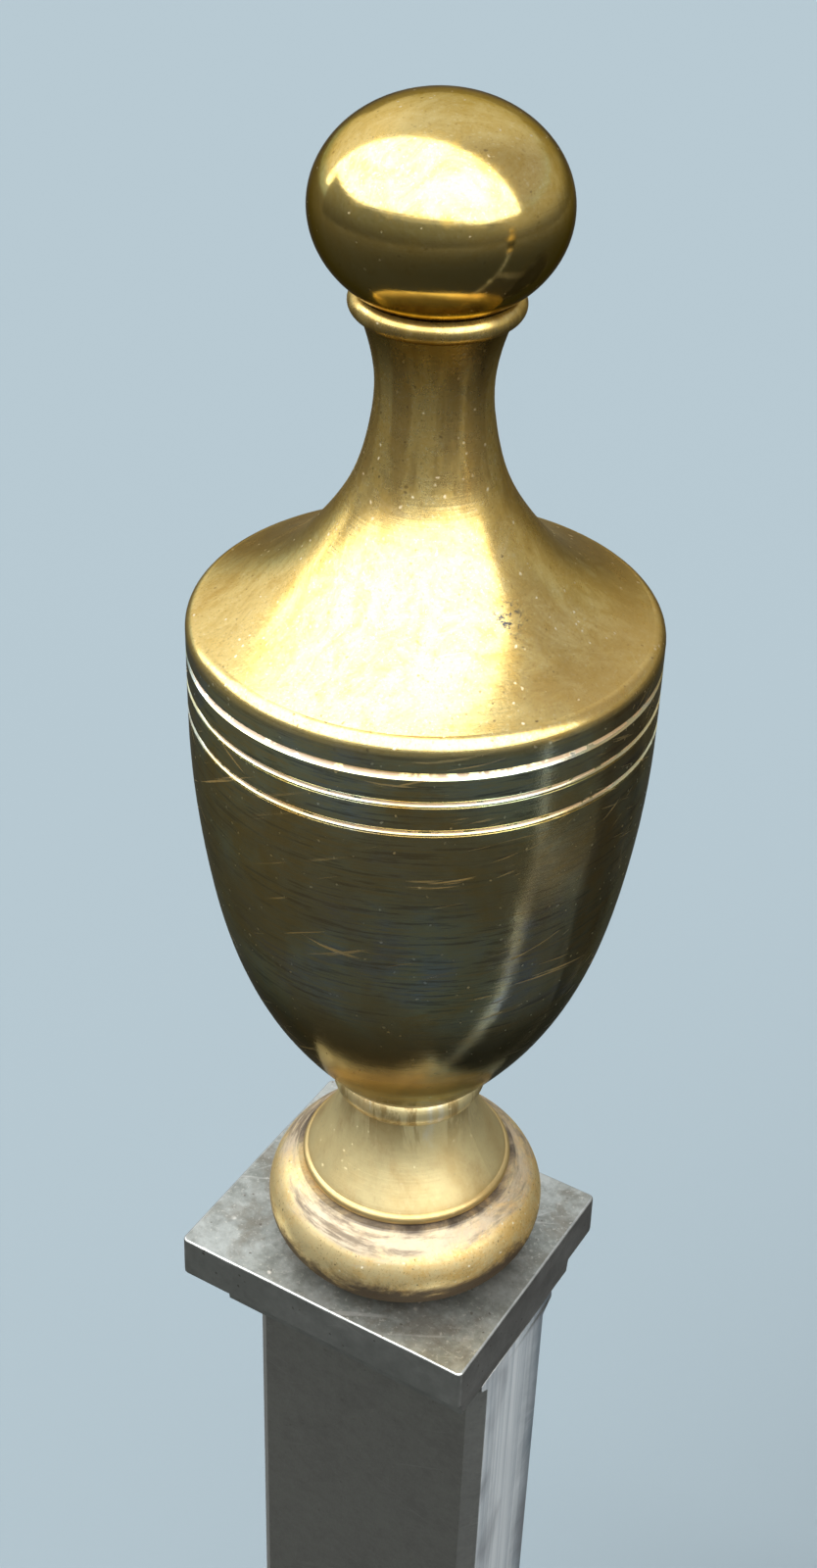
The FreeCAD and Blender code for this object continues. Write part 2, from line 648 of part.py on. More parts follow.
def grate_frame():
    """Four flat bars, mitred at the corners; the outer corners are taken off."""
    outer = grate_corners(0, SEAT_TOP)
    inner = grate_corners(GRATE_BORDER, SEAT_TOP)
    tall = Vector(0, 0, GRATE_THICKNESS)
    sides = []
    for i in range(4):
        j = (i + 1) % 4
        along = outer[j].sub(outer[i]).normalize() * GRATE_CORNER
        sides.append(prism([outer[i] + along, outer[j] - along, inner[j], inner[i]], tall))
    return sides


def grate_bars():
    """Fire bars that narrow downward, trimmed to the space inside the frame."""
    y, low, top = GRATE_FRONT, SEAT_TOP, SEAT_TOP + GRATE_THICKNESS
    inner = grate_corners(GRATE_BORDER, low)
    well = prism(inner, Vector(0, 0, GRATE_THICKNESS))
    count = int((inner[1].x - GRATE_BAR) / GRATE_PITCH)
    bars = []
    for i in range(-count, count + 1):
        x, foot, head = i * GRATE_PITCH, GRATE_BAR_FOOT / 2, GRATE_BAR / 2
        section = [Vector(x - foot, y, low), Vector(x - head, y, top), Vector(x + head, y, top),
                   Vector(x + foot, y, low)]
        bars.append(prism(section, Vector(0, GRATE_BACK - y, 0)).common(well))
    return [solid for bar in bars for solid in bar.Solids]


def make_grate():
    return Part.makeCompound(grate_frame() + grate_bars())


# Assembly

CAP_PLACE = Vector(-POST_X, POST_Y, CAP_TOP)
PLINTH_PLACE = Vector(-POST_X, POST_Y, 0)


def placed(shape, offset):
    moved = shape.copy()
    moved.translate(offset)
    return moved


def mirrored(shape):
    return shape.mirror(Vector(0, 0, 0), Vector(1, 0, 0))


left_side = {
    "plinth": placed(make_plinth(), PLINTH_PLACE),
    "plinth_screw": placed(make_plinth_screw(), PLINTH_PLACE),
    "post": bored_post(),
    "cap_moulding": placed(make_cove(), CAP_PLACE),
    "cap_plate": placed(make_cap_plate(), CAP_PLACE),
    "stud": placed(make_stud(), CAP_PLACE),
    "foot_ring": placed(make_foot_ring(), CAP_PLACE),
    "urn_cup": placed(make_urn_cup(), CAP_PLACE),
    "urn_lid": placed(make_urn_lid(), CAP_PLACE),
    "urn_ball": placed(make_ball(), CAP_PLACE),
    "rear_leg": make_rear_leg(),
    "bar_pins": Part.makeCompound(make_pins()),
}
front_bars = {}
for level, bar_height in SIDE_BAR_HEIGHTS.items():
    pin_holes = [make_side_pin(bar_height, SCREW_FIT, 0.5), make_leg_pin(bar_height, SCREW_FIT, 0.5)]
    left_side["side_bar_" + level] = make_side_bar(bar_height).cut(pin_holes)
for level, bar_height in FRONT_BAR_HEIGHTS.items():
    pin_hole = make_front_pin(bar_height, SCREW_FIT, 0.5)
    front_bars["front_bar_" + level] = make_front_bar(bar_height).cut([pin_hole, mirrored(pin_hole)])

rail_pin_hole = make_front_pin(rail_middle(), SCREW_FIT, 0.5)
bolt_places = [(x, h) for x in (-LEG_X, LEG_X) for h in BOLT_HEIGHTS]
nodes = {
    "front_rail": make_front_rail().cut([rail_pin_hole, mirrored(rail_pin_hole)]),
    "apron": make_apron(),
    "apron_rivets": Part.makeCompound([make_rivet(x) for x in rivet_places()]),
    "rear_bearer": make_rear_bearer(),
    "back_plate": make_back_plate(),
    "back_plate_bolts": Part.makeCompound([make_bolt(x, h) for x, h in bolt_places]),
    "back_plate_nuts": Part.makeCompound([make_nut(x, h) for x, h in bolt_places]),
    "grate": make_grate(),
    **front_bars,
}
for name, shape in left_side.items():
    nodes["left_" + name] = shape
    nodes["right_" + name] = mirrored(shape)

os.makedirs("parts", exist_ok=True)
for name, shape in nodes.items():
    shape.exportStep("parts/" + name + ".step")
    print(name, len(shape.Solids), shape.isValid(), round(shape.Volume))
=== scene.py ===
# %% [markdown]
# # A fire basket with brass urn finials
# The basket stands on two steel posts and two rear legs. Bars run between them, a cast plate
# closes the back and a loose grate carries the fire. The solids come ready made and in place,
# so this lesson dresses them: it gives each metal its finish, remakes the pieces whose edges
# and castings need more than the solids hold, and sets up a plain studio.

# %% Load the solids
import json
import math
import bmesh
import bpy
from mathutils import Matrix, Vector
from mathutils import noise as ripple


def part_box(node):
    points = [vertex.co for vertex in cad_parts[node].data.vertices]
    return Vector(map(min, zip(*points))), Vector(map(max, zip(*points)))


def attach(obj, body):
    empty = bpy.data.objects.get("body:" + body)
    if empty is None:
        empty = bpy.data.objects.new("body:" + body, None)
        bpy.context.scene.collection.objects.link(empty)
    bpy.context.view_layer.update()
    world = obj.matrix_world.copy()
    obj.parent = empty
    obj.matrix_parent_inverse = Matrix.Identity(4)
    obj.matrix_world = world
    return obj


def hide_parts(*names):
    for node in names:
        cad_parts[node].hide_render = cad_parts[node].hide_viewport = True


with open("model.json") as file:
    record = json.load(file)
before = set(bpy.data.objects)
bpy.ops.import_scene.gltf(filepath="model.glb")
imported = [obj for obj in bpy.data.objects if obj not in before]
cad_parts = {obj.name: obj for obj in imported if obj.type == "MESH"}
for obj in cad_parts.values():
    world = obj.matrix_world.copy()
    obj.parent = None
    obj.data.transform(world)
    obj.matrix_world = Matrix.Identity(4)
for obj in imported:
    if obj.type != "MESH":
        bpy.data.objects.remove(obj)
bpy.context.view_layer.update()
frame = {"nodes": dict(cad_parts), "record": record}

nodes = frame["nodes"]

# %% [markdown]
# ## The camera
# The picture looks down on the left finial from the front and a little to its right, from
# about 40 cm away. The direction was found by fitting the round edges of the urn and the
# straight edges of the cap, so it is set as three axes and not with a tracking constraint.

# %% Camera
CAMERA_PLACE = (-0.10697, -0.36853, 0.73491)
RIGHT_AXIS = Vector((0.85513, 0.51772, 0.02683))
UP_AXIS = Vector((-0.31913, 0.48492, 0.81425))
LENS_MM, SENSOR_MM, NEAREST = 50.08, 36.0, 0.01

back_axis = RIGHT_AXIS.cross(UP_AXIS)
camera_data = bpy.data.cameras.new("camera")
camera_data.lens = LENS_MM
camera_data.sensor_width = SENSOR_MM
camera_data.clip_start = NEAREST
camera = bpy.data.objects.new("camera", camera_data)
turn = Matrix((RIGHT_AXIS, UP_AXIS, back_axis)).transposed().to_4x4()
camera.matrix_world = Matrix.Translation(CAMERA_PLACE) @ turn
bpy.context.scene.collection.objects.link(camera)
bpy.context.scene.camera = camera
bpy.context.scene.view_settings.view_transform = "Standard"
print("camera looks along", [round(-x, 3) for x in back_axis])

# %% [markdown]
# ## Small helpers for node materials
# A node tree is easier to read when one line makes a node, sets it and joins it to what it
# reads. Values that are the same all over a surface go straight onto the shader's sockets.


# %% Node helpers
def start_material(name, metallic):
    """A new material, its node tree and its shader."""
    material = bpy.data.materials.new(name)
    material.use_nodes = True
    tree = material.node_tree
    shader = tree.nodes["Principled BSDF"]
    shader.inputs["Metallic"].default_value = metallic
    return material, tree, shader


def add(tree, kind, inputs=None, **settings):
    """Makes a node; an input is a plain value or another node's output."""
    node = tree.nodes.new(kind)
    for key, value in settings.items():
        setattr(node, key, value)
    for key, value in (inputs or {}).items():
        if isinstance(value, bpy.types.NodeSocket):
            tree.links.new(value, node.inputs[key])
        else:
            node.inputs[key].default_value = value
    return node


def stretched(tree, scale=(1, 1, 1), turn=(0, 0, 0)):
    """The piece's own coordinates in metres, turned and then scaled."""
    place = add(tree, "ShaderNodeTexCoord").outputs["Object"]
    if any(turn):
        place = add(tree, "ShaderNodeVectorRotate", {"Vector": place, "Rotation": turn},
                    rotation_type="EULER_XYZ").outputs["Vector"]
    return add(tree, "ShaderNodeMapping", {"Vector": place, "Scale": scale}).outputs["Vector"]


def noise(tree, scale, detail, roughness=0.55, distortion=0.0, stretch=(1, 1, 1), turn=(0, 0, 0)):
    """A noise in the piece's own space; a large stretch along an axis makes it fine that way."""
    inputs = {"Vector": stretched(tree, stretch, turn), "Scale": scale, "Detail": detail,
              "Roughness": roughness, "Distortion": distortion}
    return add(tree, "ShaderNodeTexNoise", inputs).outputs["Fac"]


def span(tree, value, low, high, to_low=0.0, to_high=1.0):
    """A value brought smoothly from one range to another, and held at its ends."""
    inputs = {"Value": value, "From Min": low, "From Max": high, "To Min": to_low, "To Max": to_high}
    return add(tree, "ShaderNodeMapRange", inputs, interpolation_type="SMOOTHSTEP").outputs["Result"]


def maths(tree, operation, first, second):
    return add(tree, "ShaderNodeMath", {0: first, 1: second}, operation=operation).outputs["Value"]


def plus(tree, first, second):
    return maths(tree, "ADD", first, second)


def times(tree, first, second):
    return maths(tree, "MULTIPLY", first, second)


def larger(tree, first, second):
    return maths(tree, "MAXIMUM", first, second)


def swing(tree, value, amount):
    """A noise, which lies about one half, made to swing about zero."""
    return times(tree, maths(tree, "SUBTRACT", value, 0.5), amount)


def blended(tree, amount, first, second):
    """One colour over another; the Mix node's colours are its inputs 6 and 7 and its output 2."""
    return add(tree, "ShaderNodeMix", {0: amount, 6: first, 7: second}, data_type="RGBA").outputs[2]


def relief(tree, shader, height, strength, distance):
    inputs = {"Height": height, "Strength": strength, "Distance": distance}
    bump = add(tree, "ShaderNodeBump", inputs)
    tree.links.new(bump.outputs["Normal"], shader.inputs["Normal"])


def axis_of(tree, output, axis):
    """One axis of the piece's coordinates or of its surface direction."""
    place = add(tree, "ShaderNodeTexCoord").outputs[output]
    return add(tree, "ShaderNodeSeparateXYZ", {"Vector": place}).outputs[axis]


def tint(parts, amount, colour):
    """Lays a colour over what a metal has so far."""
    parts["colour"] = blended(parts["tree"], amount, parts["colour"], colour)


print("node helpers ready")

# %% [markdown]
# ## Marks that all the metals share
# Worn metal is never one colour. Small specks come from a Voronoi pattern of which only a few
# cells are kept, and their outline is bent by a noise so that they aren't round. Scratches are
# two noises squeezed into thin lines that cross each other, shown in patches only.

# %% Specks, scratches and bands
SPECK_BEND, SPECK_CORE, BAND_CORE = 0.9, 0.3, 0.45


def specks(tree, scale, kept, size):
    """1 on a few small spots, 0 elsewhere."""
    place = stretched(tree)
    bend = add(tree, "ShaderNodeTexNoise", {"Vector": place, "Scale": scale * 0.8, "Detail": 2.0})
    bent = add(tree, "ShaderNodeVectorMath", {0: bend.outputs["Color"], 3: SPECK_BEND / scale},
               operation="SCALE")
    moved = add(tree, "ShaderNodeVectorMath", {0: place, 1: bent.outputs["Vector"]}, operation="ADD")
    cells = add(tree, "ShaderNodeTexVoronoi", {"Vector": moved.outputs["Vector"], "Scale": scale})
    chance = add(tree, "ShaderNodeSeparateColor", {"Color": cells.outputs["Color"]}).outputs["Red"]
    chosen = maths(tree, "GREATER_THAN", chance, 1 - kept)
    return times(tree, chosen, span(tree, cells.outputs["Distance"], size, size * SPECK_CORE))


def scratches(tree):
    """Thin lines in two directions, in patches."""
    first = noise(tree, 1.0, 2.0, stretch=(45, 45, 1500), turn=(0.35, 0.45, 0))
    second = noise(tree, 1.0, 2.0, stretch=(60, 60, 1400), turn=(-0.5, -0.25, 0))
    patchy = span(tree, noise(tree, 1.0, 2.0, stretch=(60, 60, 60)), 0.44, 0.60)
    return times(tree, span(tree, larger(tree, first, second), 0.64, 0.72), patchy)


def near(tree, value, centre, reach):
    """1 at a value, fading to 0 at a distance from it."""
    away = maths(tree, "ABSOLUTE", maths(tree, "SUBTRACT", value, centre), 0.0)
    return span(tree, away, reach, reach * BAND_CORE)


print("marks ready")

# %% [markdown]
# ## Aged brass
# The finials are turned brass that was polished often and left to age. The colour wanders from
# pale yellow to bronze in soft clouds, fine flecks sit in the surface, and faint rings from the
# lathe run round the axis. The rings are a noise squeezed along the height: it needs no seam,
# which rings drawn on an unwrapped surface would have. Old brass is duller where it is seen edge
# on, so the shader's tint for edges is dark.

# %% Brass
PALE_GOLD = (0.92, 0.72, 0.30, 1)
GOLD = (0.80, 0.56, 0.16, 1)
BRONZE = (0.44, 0.28, 0.09, 1)
BRIGHT_GRAIN = (1.0, 0.86, 0.50, 1)
BRIGHT_SCRATCH = (0.97, 0.80, 0.44, 1)
PALE_DUST = (1.0, 0.93, 0.70, 1)
DARK_SPECK = (0.20, 0.13, 0.06, 1)
EDGE_TINT = (0.45, 0.38, 0.26, 1)
LATHE_DEPTH = 0.00006


def start_brass(name, pale=PALE_GOLD, deep=GOLD):
    """A brass with clouds, flecks and scratches, and the nodes that each finial piece adds to."""
    material, tree, shader = start_material(name, 1.0)
    clouds = noise(tree, 26.0, 6.0, 0.6, 0.4)
    mottle = noise(tree, 420.0, 5.0, 0.7)
    fine = noise(tree, 2000.0, 3.0, 0.75)
    strokes = noise(tree, 1.0, 5.0, 0.7, 1.2, stretch=(330, 120, 170), turn=(0.3, 0.5, 0.7))
    dust = specks(tree, 820.0, 0.16, 0.24)
    rings = noise(tree, 1.0, 3.0, 0.6, stretch=(40, 40, 2600))
    tone = plus(tree, times(tree, clouds, 0.7), times(tree, mottle, 0.5))
    tone = plus(tree, tone, times(tree, strokes, 0.4))
    parts = {"material": material, "tree": tree, "shader": shader, "clouds": clouds,
             "mottle": mottle, "fine": fine, "strokes": strokes, "dust": dust, "rings": rings,
             "colour": blended(tree, span(tree, tone, 0.68, 1.00), pale, deep),
             "z": axis_of(tree, "Object", "Z")}
    tint(parts, span(tree, tone, 0.96, 1.16, 0.0, 0.8), BRONZE)
    tint(parts, span(tree, fine, 0.57, 0.68, 0.0, 0.6), BRONZE)
    tint(parts, span(tree, fine, 0.42, 0.33, 0.0, 0.8), BRIGHT_GRAIN)
    tint(parts, times(tree, scratches(tree), 0.3), BRIGHT_SCRATCH)
    tint(parts, dust, PALE_DUST)
    tint(parts, times(tree, specks(tree, 900.0, 0.10, 0.26), 0.8), DARK_SPECK)
    return parts


def end_brass(parts, rough, strength, edge=EDGE_TINT):
    """Joins a brass to its shader: colour, roughness, lathe rings and the tint of its edges."""
    tree, shader = parts["tree"], parts["shader"]
    tree.links.new(parts["colour"], shader.inputs["Base Color"])
    rough = plus(tree, rough, swing(tree, parts["mottle"], 0.14))
    rough = plus(tree, rough, times(tree, parts["dust"], 0.22))
    tree.links.new(rough, shader.inputs["Roughness"])
    height = plus(tree, parts["rings"], times(tree, parts["fine"], 0.6))
    relief(tree, shader, height, strength, LATHE_DEPTH)
    round_axis = add(tree, "ShaderNodeTangent", direction_type="RADIAL", axis="Z").outputs["Tangent"]
    tree.links.new(round_axis, shader.inputs["Tangent"])
    shader.inputs["Specular Tint"].default_value = edge
    shader.inputs["Anisotropic"].default_value = 0.30
    shader.inputs["Anisotropic Rotation"].default_value = 0.25
    return parts["material"]


print("brass ready to start from")

# %% [markdown]
# ## The ball's finish
# The ball on top of a finial is rubbed by hands, so it is the brightest piece, with soft smears.
# Its underside is darkened towards brown as painted shade, standing in for the dark ground that it
# reflects. Such a border could be drawn on an image; here it follows the height, and a noise moves
# it up and down so that it isn't a straight line.

# %% Ball brass
BALL_HALF_HEIGHT = 0.0142
BALL_SMEAR = (0.62, 0.42, 0.11, 1)
BALL_PAINTED_SHADE = (0.34, 0.25, 0.08, 1)


def make_ball_brass():
    parts = start_brass("ball_brass")
    tree = parts["tree"]
    smears = span(tree, parts["strokes"], 0.36, 0.66)
    tint(parts, 0.4, blended(tree, smears, PALE_GOLD, BALL_SMEAR))
    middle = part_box("left_urn_ball")[1][2] - BALL_HALF_HEIGHT
    height = plus(tree, parts["z"], swing(tree, parts["clouds"], 0.020))
    # Painted shade: below the middle of the ball the colour goes over to a dark brown.
    tint(parts, span(tree, height, middle + 0.0085, middle - 0.0010, 0.0, 0.66), BALL_PAINTED_SHADE)
    return end_brass(parts, span(tree, parts["strokes"], 0.35, 0.7, 0.10, 0.19), 0.10)


ball_brass = make_ball_brass()
print("made", ball_brass.name)

# %% [markdown]
# ## The urn's finish
# The wall of the urn is filmed over with grey olive, wiped round in fine bands, and keeps a sharp
# reflection. A dark band low on the wall is painted shade. The shoulder has brown strokes, the neck
# has streaks along it, and a dark line under the collar is painted shade. The bell that the urn
# stands on is pale, with brown patches and drips; at the ring its lower edge is darkened by grime in
# the joint and by painted shade. The three groove lines show as fine pale lines: polish kept in
# them, and a painted highlight on the lower face of each. All of this follows the height, so the
# material reads Z and needs no unwrapping. Each border is a pair of heights above the cap's top,
# where it starts and where it ends.

# %% Urn heights and colours
CAP_TOP = 0.450
SEAM = 0.0169
GROOVES = (0.1103, 0.1150, 0.1196)
GROOVE_DROP, GROOVE_REACH = 0.00015, 0.00027
SCUFF_PLACE = Vector((-0.2226, -0.1443, 0.5835))

WALL_TOP, FOOT_TOP = (0.1240, 0.1210), (0.0430, 0.0412)
UNDERSIDE_SHADE_TOP, UNDERSIDE_SHADE_FOOT = (0.0760, 0.0610), (0.0470, 0.0500)
STEM = (0.0255, 0.0360)
GRIME_AND_SHADE, LIP_SHADE = (SEAM + 0.0009, SEAM + 0.0002), (SEAM + 0.0034, SEAM + 0.0012)
SHOULDER_FOOT, SHOULDER_TOP = (0.1240, 0.1275), (0.1520, 0.1400)
NECK = (0.1360, 0.1500)
COLLAR_SHADE, COLLAR_EDGE = (0.1600, 0.1695), (0.1712, 0.1702)
CLOUDS_TOP = (0.1310, 0.1260)

STAIN_AND_SHADE = (0.055, 0.045, 0.045, 1)
FILM = (0.84, 0.92, 0.66, 1)
BLUED = (0.68, 0.86, 0.96, 1)
TARNISH = (0.88, 0.74, 0.34, 1)
WIPED_BRIGHT = (1.0, 0.90, 0.56, 1)
WIPED_DARK = (0.30, 0.31, 0.22, 1)
FILM_SCRATCH = (0.90, 0.62, 0.24, 1)
FILM_DOT = (0.88, 0.72, 0.36, 1)
UNDERSIDE_SHADE = (0.15, 0.16, 0.11, 1)
PASTE_AND_GLINT = (0.74, 0.60, 0.48, 1)
PALE_FOOT = (1.0, 0.85, 0.48, 1)
FOOT_BROWN = (0.60, 0.36, 0.14, 1)
PALE_DRIP = (1.0, 0.93, 0.74, 1)
LIP_SHADE_BROWN = (0.50, 0.33, 0.12, 1)
SHOULDER_BROWN = (0.60, 0.40, 0.12, 1)
COLLAR_SHADE_COLOUR = (0.20, 0.13, 0.03, 1)
CLOUD_BROWN = (0.60, 0.38, 0.12, 1)
SCUFF = (0.10, 0.10, 0.11, 1)
URN_EDGE_TINT = (0.64, 0.58, 0.46, 1)
print("seam at", CAP_TOP + SEAM, "and", len(GROOVES), "grooves")

# %% [markdown]
# ## Laying the urn's finish
# A material for each part of the urn would be simpler, but it would leave hard borders. So there
# is one material, and one function for each part lays its colours over what is there already.


# %% Urn brass
def by_height(parts, start, end, to_start=0.0, to_end=1.0):
    """A value that changes between two heights above the cap's top."""
    return span(parts["tree"], parts["z"], CAP_TOP + start, CAP_TOP + end, to_start, to_end)


def film_wall(parts, wall):
    """The wiped film on the wall and a band of painted shade low on it; gives its scratches and dots."""
    tree = parts["tree"]
    patchy = noise(tree, 46.0, 7.0, 0.7, 0.8, stretch=(1, 1, 0.8))
    wiped = noise(tree, 1.0, 4.0, 0.7, stretch=(110, 110, 1900))
    tone = plus(tree, patchy, swing(tree, wiped, 0.7))
    film = blended(tree, span(tree, tone, 0.52, 0.34), FILM, BLUED)
    film = blended(tree, span(tree, tone, 0.52, 0.70), film, TARNISH)
    film = blended(tree, span(tree, wiped, 0.52, 0.66, 0.0, 0.65), film, WIPED_BRIGHT)
    film = blended(tree, span(tree, wiped, 0.48, 0.36, 0.0, 0.7), film, WIPED_DARK)
    lines = times(tree, wall, scratches(tree))
    dots = times(tree, wall, specks(tree, 760.0, 0.07, 0.20))
    film = blended(tree, times(tree, lines, 0.8), film, FILM_SCRATCH)
    film = blended(tree, times(tree, dots, 0.7), film, FILM_DOT)
    tint(parts, times(tree, wall, 0.93), film)
    # Painted shade: a dark band low on the wall, where it faces down towards the cap.
    underside_shade = times(tree, by_height(parts, *UNDERSIDE_SHADE_TOP, 0.0, 0.92), by_height(parts, *UNDERSIDE_SHADE_FOOT))
    tint(parts, underside_shade, UNDERSIDE_SHADE)
    return larger(tree, lines, dots)


def age_foot(parts, foot):
    """Brown patches on the bell, drips down its stem, and grime and painted shade where it meets the ring.
    """
    tree = parts["tree"]
    patches = noise(tree, 66.0, 7.0, 0.7, 0.3, stretch=(1, 1, 0.7))
    tint(parts, times(tree, foot, span(tree, patches, 0.50, 0.68, 0.0, 0.45)), FOOT_BROWN)
    stem = times(tree, foot, by_height(parts, *STEM))
    drips = noise(tree, 1.0, 4.0, 0.65, 0.8, stretch=(230, 230, 34))
    tint(parts, times(tree, stem, span(tree, drips, 0.47, 0.60, 0.0, 0.75)), BRONZE)
    tint(parts, times(tree, stem, span(tree, drips, 0.42, 0.30)), PALE_DRIP)
    # Grime in the joint with the ring, and painted shade that darkens the bell's lower edge.
    tint(parts, times(tree, by_height(parts, *GRIME_AND_SHADE), 0.85), STAIN_AND_SHADE)
    tint(parts, by_height(parts, *LIP_SHADE, 0.0, 0.65), LIP_SHADE_BROWN)


def pale_groove_lines(parts):
    """Pale lines in the three grooves, polish left in them and a painted highlight on their lower faces,
    worn away in places.
    """
    tree, z = parts["tree"], parts["z"]
    # Painted highlight: the pale lines sit a little below each groove, on its lower face, as well as
    # standing for polish left in it.
    paste_and_glint = near(tree, z, CAP_TOP + GROOVES[0] - GROOVE_DROP, GROOVE_REACH)
    for groove in GROOVES[1:]:
        paste_and_glint = larger(tree, paste_and_glint, near(tree, z, CAP_TOP + groove - GROOVE_DROP, GROOVE_REACH))
    worn = span(tree, noise(tree, 420.0, 3.0, 0.6), 0.66, 0.52)
    paste_and_glint = times(tree, paste_and_glint, worn)
    tint(parts, paste_and_glint, PASTE_AND_GLINT)
    return paste_and_glint


def scuff_mark(tree):
    """One dark, scraped spot on the shoulder."""
    away = add(tree, "ShaderNodeVectorMath", {0: stretched(tree), 1: SCUFF_PLACE},
               operation="DISTANCE").outputs["Value"]
    torn = span(tree, noise(tree, 900.0, 4.0, 0.7, stretch=(1, 1, 1.6)), 0.50, 0.60)
    return times(tree, span(tree, away, 0.0036, 0.0010), torn)


def age_top(parts, neck):
    """Strokes and a scuff on the shoulder, streaks along the neck, painted shade under the collar."""
    tree = parts["tree"]
    shoulder = times(tree, by_height(parts, *SHOULDER_FOOT), by_height(parts, *SHOULDER_TOP))
    strokes = plus(tree, times(tree, parts["strokes"], 0.6), times(tree, parts["clouds"], 0.4))
    tint(parts, times(tree, shoulder, span(tree, strokes, 0.42, 0.60, 0.05, 0.58)), SHOULDER_BROWN)
    tint(parts, scuff_mark(tree), SCUFF)
    streaks = noise(tree, 1.0, 3.0, 0.6, stretch=(420, 420, 14))
    tint(parts, times(tree, neck, span(tree, streaks, 0.40, 0.62, 0.10, 0.60)), BRONZE)
    # Painted shade under the collar.
    shade = times(tree, by_height(parts, *COLLAR_SHADE, 0.0, 0.75), by_height(parts, *COLLAR_EDGE))
    tint(parts, shade, COLLAR_SHADE_COLOUR)


def make_urn_brass():
    parts = start_brass("urn_brass")
    tree = parts["tree"]
    foot, neck = by_height(parts, *FOOT_TOP), by_height(parts, *NECK)
    wall = maths(tree, "SUBTRACT", by_height(parts, *WALL_TOP), foot)
    tint(parts, foot, blended(tree, 0.75, parts["colour"], PALE_FOOT))
    marks = film_wall(parts, wall)
    age_foot(parts, foot)
    paste_and_glint = pale_groove_lines(parts)
    age_top(parts, neck)
    clouded = times(tree, by_height(parts, *CLOUDS_TOP), span(tree, parts["clouds"], 0.42, 0.60))
    tint(parts, times(tree, clouded, 0.55), CLOUD_BROWN)
    tree.links.new(span(tree, foot, 0.0, 1.0, 1.0, 0.76), parts["shader"].inputs["Metallic"])
    rough = span(tree, parts["clouds"], 0.3, 0.7, 0.21, 0.27)
    rough = maths(tree, "SUBTRACT", rough, times(tree, wall, 0.09))
    for place, more in ((neck, 0.04), (foot, 0.13), (marks, 0.28)):
        rough = plus(tree, rough, times(tree, place, more))
    return end_brass(parts, larger(tree, rough, times(tree, paste_and_glint, 0.6)), 0.26, URN_EDGE_TINT)


urn_brass = make_urn_brass()
print("made", urn_brass.name)

# %% [markdown]
# ## The foot ring's finish
# The ring stands on the cap where damp collects. Its base has stains, nearly black in places, its
# upper edge is rubbed to a grey with dark smears, and brown patches lie between. The brown and black
# low on the ring are also painted shade where it sits on the cap. A noise added to the height makes
# the borders ragged, as real stains are.

# %% Foot brass
RING_PALE, RING_DEEP = (1.0, 0.80, 0.42, 1), (0.92, 0.60, 0.20, 1)
RUBBED = (0.56, 0.50, 0.44, 1)
SMEAR = (0.19, 0.15, 0.11, 1)
RING_BROWN_AND_SHADE = (0.42, 0.26, 0.10, 1)
RING_TOP, RING_BASE = (SEAM - 0.0085, SEAM - 0.0010), (0.0128, 0.0040)
SEAM_REACH, RING_METALLIC = 0.00035, 0.74


def make_foot_brass():
    parts = start_brass("foot_brass", RING_PALE, RING_DEEP)
    tree = parts["tree"]
    ragged = noise(tree, 1.0, 7.0, 0.68, 0.5, stretch=(62, 62, 210))
    high = plus(tree, by_height(parts, *RING_TOP, 0.0, 0.42), ragged)
    rubbed = span(tree, high, 0.72, 0.98)
    tint(parts, times(tree, rubbed, 0.75), RUBBED)
    strokes = noise(tree, 1.0, 5.0, 0.7, stretch=(70, 70, 700))
    smeared = times(tree, span(tree, high, 0.78, 1.0), span(tree, strokes, 0.44, 0.60))
    tint(parts, times(tree, smeared, 0.8), SMEAR)
    # Stains low on the ring, which also stand as painted shade where the ring sits on the cap.
    ragged_base = noise(tree, 1.0, 7.0, 0.72, 0.6, stretch=(75, 75, 150))
    low = plus(tree, by_height(parts, *RING_BASE, 0.0, 0.46), ragged_base)
    tint(parts, times(tree, span(tree, low, 0.54, 0.84), 0.55), RING_BROWN_AND_SHADE)
    seam = near(tree, parts["z"], CAP_TOP + SEAM, SEAM_REACH)
    seam = times(tree, seam, span(tree, ragged, 0.38, 0.62, 0.1, 0.8))
    dirt_and_shade = larger(tree, span(tree, low, 0.61, 0.88), seam)
    tint(parts, times(tree, dirt_and_shade, 0.90), STAIN_AND_SHADE)
    parts["shader"].inputs["Metallic"].default_value = RING_METALLIC
    rough = span(tree, parts["clouds"], 0.3, 0.7, 0.36, 0.44)
    rough = plus(tree, rough, times(tree, larger(tree, dirt_and_shade, rubbed), 0.22))
    return end_brass(parts, rough, 0.35)


foot_brass = make_foot_brass()
print("made", foot_brass.name)

# %% [markdown]
# ## Bar steel
# The bars, rails and legs are steel that has gone dark from the fire, with fine scratches, small
# pits and a trace of rust. The screws and nuts are the same, a little lighter. All the steels
# start and end alike, so that they look like one metal, and each lays its own colours between.

# %% Bar steel
STEEL_SCRATCH = (0.80, 0.80, 0.79, 1)
PIT = (0.18, 0.16, 0.14, 1)
STEEL_RUST = (0.20, 0.12, 0.08, 1)
STEEL_RELIEF = 0.0003


def start_steel(name):
    """A steel, its clouds and the tone that its colours follow."""
    material, tree, shader = start_material(name, 1.0)
    clouds = noise(tree, 60.0, 8.0, 0.66, 0.3)
    mottle = noise(tree, 330.0, 5.0, 0.66)
    return {"material": material, "tree": tree, "shader": shader, "clouds": clouds,
            "tone": plus(tree, clouds, times(tree, mottle, 0.8))}


